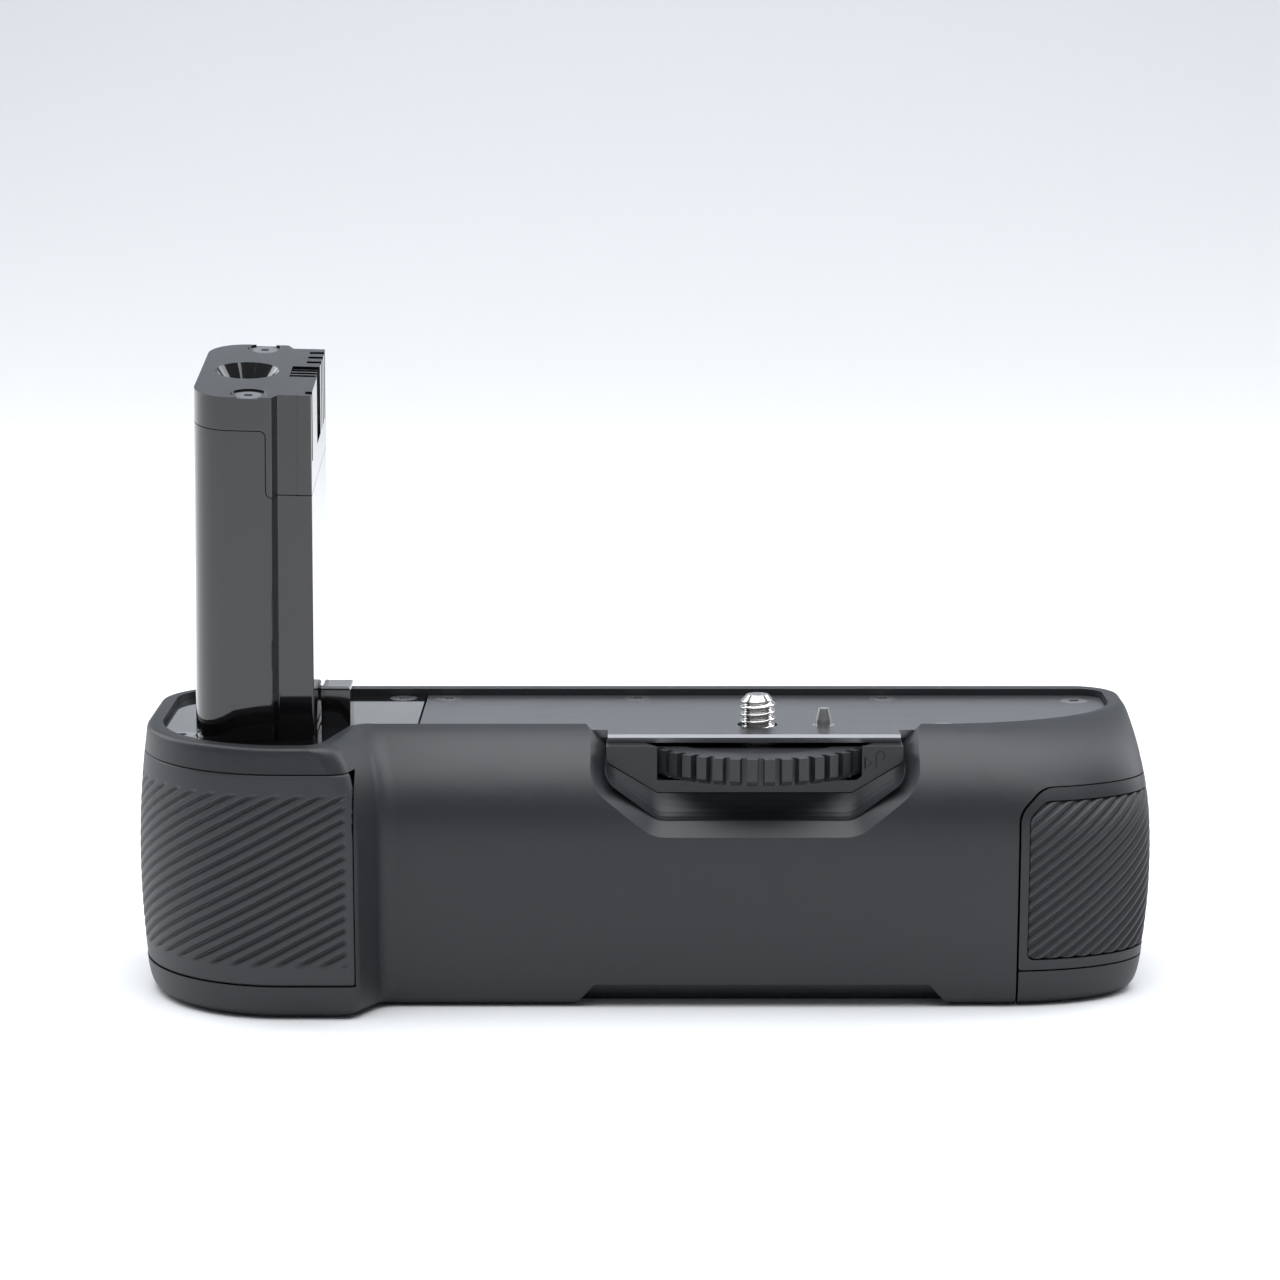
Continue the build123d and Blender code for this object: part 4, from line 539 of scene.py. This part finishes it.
class GRIP_OT_camera_screw(bpy.types.Operator):
    """Threaded camera screw."""

    bl_idname = "grip.camera_screw"
    bl_label = "Camera screw"

    def execute(self, context):
        sizes = context.scene.grip_sizes
        steps = sizes.thread_steps
        top, tip_start, neck_top = 52.5, 51.1, 45.2
        heights = np.concatenate([[36.4, 40.5, 40.5, 42.5, 42.5, neck_top], np.arange(neck_top, top, 0.09),
                                  [top, top - 0.15, top - 0.3]])
        base = np.interp(heights, [36.4, 40.49, 40.5, 42.5, 42.51, 60], [2.6, 2.6, 2.6, 2.6, 3.0, 3.175])
        turn = np.linspace(0, 2 * math.pi, steps, endpoint=False)
        height, angle = np.meshgrid(heights, turn, indexing="ij")
        phase = height * MM / sizes.thread_pitch - angle / (2 * math.pi)
        valley = 1 - np.abs(2 * (phase - np.floor(phase)) - 1)
        radius = 3.175 - sizes.thread_depth / MM * np.clip(valley * 1.25 - 0.12, 0, 1)
        radius = np.minimum(radius, 3.175 - np.clip(height - tip_start, 0, None) * (1.275 / 1.4))
        radius = np.where(height < neck_top + 0.01, np.repeat(base[:, None], steps, 1), radius)
        radius[-2:] = np.array([[1.0], [0.05]])
        points = np.stack([radius * np.cos(angle), radius * np.sin(angle), height], -1).reshape(-1, 3) * MM
        faces = grid_faces(len(heights), steps, wrap=True).tolist()
        last = (len(heights) - 1) * steps
        faces += [list(range(last, last + steps)), list(range(steps))[::-1]]
        piece = new_piece("camera_screw_thread", points, faces, "wheel", nickel())
        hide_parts("camera_screw")
        return {"FINISHED"}


def flat_strip(line, width, y, close=False):
    """A flat ribbon of a given width along a line in the X-Z plane, facing the front, at one Y."""
    line = np.asarray(line, float)
    if close:
        line = np.concatenate([line, line[:2]])
    direction = np.gradient(line, axis=0)
    direction /= np.linalg.norm(direction, axis=1, keepdims=True)
    side = np.stack([-direction[:, 1], direction[:, 0]], 1) * width / 2
    both = np.stack([line + side, line - side], 1).reshape(-1, 2)
    points = np.stack([both[:, 0], np.full(len(both), y), both[:, 1]], 1)
    return points, grid_faces(len(line), 2)[:, ::-1]


class GRIP_OT_signs(bpy.types.Operator):
    """Arrow and open padlock beside the wheel, printed as thin outlines."""

    bl_idname = "grip.signs"
    bl_label = "Wheel signs"

    def execute(self, context):
        turn = np.linspace(math.pi, math.radians(-60), 20)
        arrow = [(18.5, 43.7), (18.5, 41.7), (19.7, 42.7)]
        shank = [(20.45, 41.9)]
        bow = np.stack([21.2 + 0.75 * np.cos(turn), 44.0 + 0.75 * np.sin(turn)], 1)
        points, faces, count = [], [], 0
        for line, close in ((arrow, True), (np.concatenate([shank, bow]), False)):
            strip, quads = flat_strip(line, 0.24, -13.22, close)
            points.append(strip)
            faces.append(quads + count)
            count += len(strip)
        made = finish("Sign print", (0.002, 0.002, 0.0022), (0.004, 0.004, 0.0044), 0.6, grain=3000.0,
                      bump=0.05)
        new_piece("wheel_signs", np.concatenate(points) * MM, np.concatenate(faces), "grip",
                  made, smooth=False)
        return {"FINISHED"}


class GRIP_OT_finishes(bpy.types.Operator):
    """Procedural finishes for every CAD node that shows."""

    bl_idname = "grip.finishes"
    bl_label = "Finishes"

    def execute(self, context):
        for maker, nodes in NODE_FINISHES.items():
            for node in nodes:
                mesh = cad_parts[node].data
                mesh.materials.clear()
                mesh.materials.append(maker())
        return {"FINISHED"}


class GRIP_OT_stage(bpy.types.Operator):
    """Pale sweep, soft lamps and the camera."""

    bl_idname = "grip.stage"
    bl_label = "Stage"

    def execute(self, context):
        scene = context.scene
        scene.view_settings.view_transform = "Standard"
        self.sweep(scene)
        self.lamps()
        self.world(scene)
        lens = bpy.data.cameras.new("grip_camera")
        lens.sensor_width, lens.lens = 36.0, 3733 / 1280 * 36
        camera = bpy.data.objects.new("grip_camera", lens)
        bpy.context.collection.objects.link(camera)
        camera.location = (-0.02096, -0.6543, 0.1753)
        camera.rotation_euler = (math.radians(80.2), 0, 0)
        scene.camera = camera
        return {"FINISHED"}

    def sweep(self, scene):
        """Floor, quarter circle and wall as one profile carried along X."""
        turn = np.linspace(0, math.pi / 2, 24)
        profile = np.concatenate([
            [[-2.2, 0.0], [-1.0, 0.0], [0.0, 0.0]],
            np.stack([0.9 + 0.6 * np.sin(turn), 0.6 - 0.6 * np.cos(turn)], 1),
            [[1.5, 2.6]],
        ])
        across = np.linspace(-2.4, 2.4, 9)
        points = [(x, y, z) for y, z in profile for x in across]
        mesh = bpy.data.meshes.new("stage_sweep")
        mesh.from_pydata(points, [], grid_faces(len(profile), len(across)).tolist())
        mesh.polygons.foreach_set("use_smooth", np.ones(len(mesh.polygons), bool))
        sweep = bpy.data.objects.new("stage_sweep", mesh)
        bpy.context.collection.objects.link(sweep)
        material = bpy.data.materials.new("Pale sweep")
        material.use_nodes = True
        tree = material.node_tree
        surface = tree.nodes["Principled BSDF"]
        surface.inputs["Roughness"].default_value = 0.8
        surface.inputs["Specular IOR Level"].default_value = 0.1
        place = add_node(tree, "ShaderNodeTexCoord")
        split = add_node(tree, "ShaderNodeSeparateXYZ")
        # The sweep's colour blends by height from near white on the floor to the backdrop top colour: painted
        # shade, darker and bluer up the wall
        rise = add_node(tree, "ShaderNodeMapRange", values={"From Min": 0.0, "From Max": 0.5})
        blend = add_node(tree, "ShaderNodeMix", data_type="RGBA", values={
            "A": (0.93, 0.935, 0.94, 1.0), "B": (*scene.grip_colours.backdrop_top, 1.0),
        })
        tree.links.new(place.outputs["Object"], split.inputs[0])
        tree.links.new(split.outputs["Z"], rise.inputs["Value"])
        tree.links.new(rise.outputs["Result"], blend.inputs["Factor"])
        tree.links.new(blend.outputs["Result"], surface.inputs["Base Color"])
        mesh.materials.append(material)

    def lamps(self):
        """Large soft lamps: overhead, behind and high at the front."""
        for name, place, size, power, aim in (
            ("overhead", (0.0, 0.1, 1.0), (1.3, 0.9), 13.5, (0.0, 0.0, 0.0)),
            ("back_right", (0.9, 0.55, 0.55), (0.6, 0.8), 5.0, (0.0, 0.0, 0.05)),
            ("back_left", (-0.9, 0.55, 0.55), (0.6, 0.8), 5.0, (0.0, 0.0, 0.05)),
            ("front_top", (0.0, -0.55, 1.15), (1.2, 0.5), 6.0, (0.0, 0.0, 0.03)),
        ):
            light = bpy.data.lights.new(name, "AREA")
            light.shape, light.size, light.size_y, light.energy = "RECTANGLE", size[0], size[1], power
            lamp = bpy.data.objects.new(name, light)
            bpy.context.collection.objects.link(lamp)
            light.color = (0.955, 0.975, 1.0)
            lamp.location = place
            back = [a - b for a, b in zip(place, aim)]
            lamp.rotation_euler = Vector(back).to_track_quat("Z", "Y").to_euler()

    def world(self, scene):
        """Plain even light from all round."""
        world = bpy.data.worlds.new("grip_world")
        scene.world = world
        world.use_nodes = True
        tree = world.node_tree
        background = tree.nodes["Background"]
        background.inputs["Color"].default_value = (0.9, 0.94, 1.0, 1.0)
        background.inputs["Strength"].default_value = 0.21


class GRIP_PT_panel(bpy.types.Panel):
    """Shows the grip's sizes and colours, and a button for each operator."""

    bl_idname = "GRIP_PT_panel"
    bl_label = "Battery grip"
    bl_space_type = "VIEW_3D"
    bl_region_type = "UI"
    bl_category = "Grip"

    def draw(self, context):
        for owner in (context.scene.grip_sizes, context.scene.grip_colours):
            for key in owner.__annotations__:
                self.layout.prop(owner, key)
        for operator in OPERATORS:
            self.layout.operator(operator.bl_idname)


OPERATORS = (
    GRIP_OT_end_pad, GRIP_OT_handle_pad, GRIP_OT_camera_screw, GRIP_OT_signs, GRIP_OT_finishes, GRIP_OT_stage,
)
CLASSES = (GripSizes, GripColours, *OPERATORS, GRIP_PT_panel)


def register():
    for item in CLASSES:
        bpy.utils.register_class(item)
    bpy.types.Scene.grip_sizes = PointerProperty(type=GripSizes)
    bpy.types.Scene.grip_colours = PointerProperty(type=GripColours)


def unregister():
    del bpy.types.Scene.grip_sizes
    del bpy.types.Scene.grip_colours
    for item in reversed(CLASSES):
        bpy.utils.unregister_class(item)


def main():
    """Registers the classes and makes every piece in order."""
    register()
    bpy.ops.grip.finishes()
    bpy.ops.grip.end_pad()
    bpy.ops.grip.handle_pad()
    bpy.ops.grip.camera_screw()
    bpy.ops.grip.signs()
    bpy.ops.grip.stage()


if __name__ == "__main__":
    main()
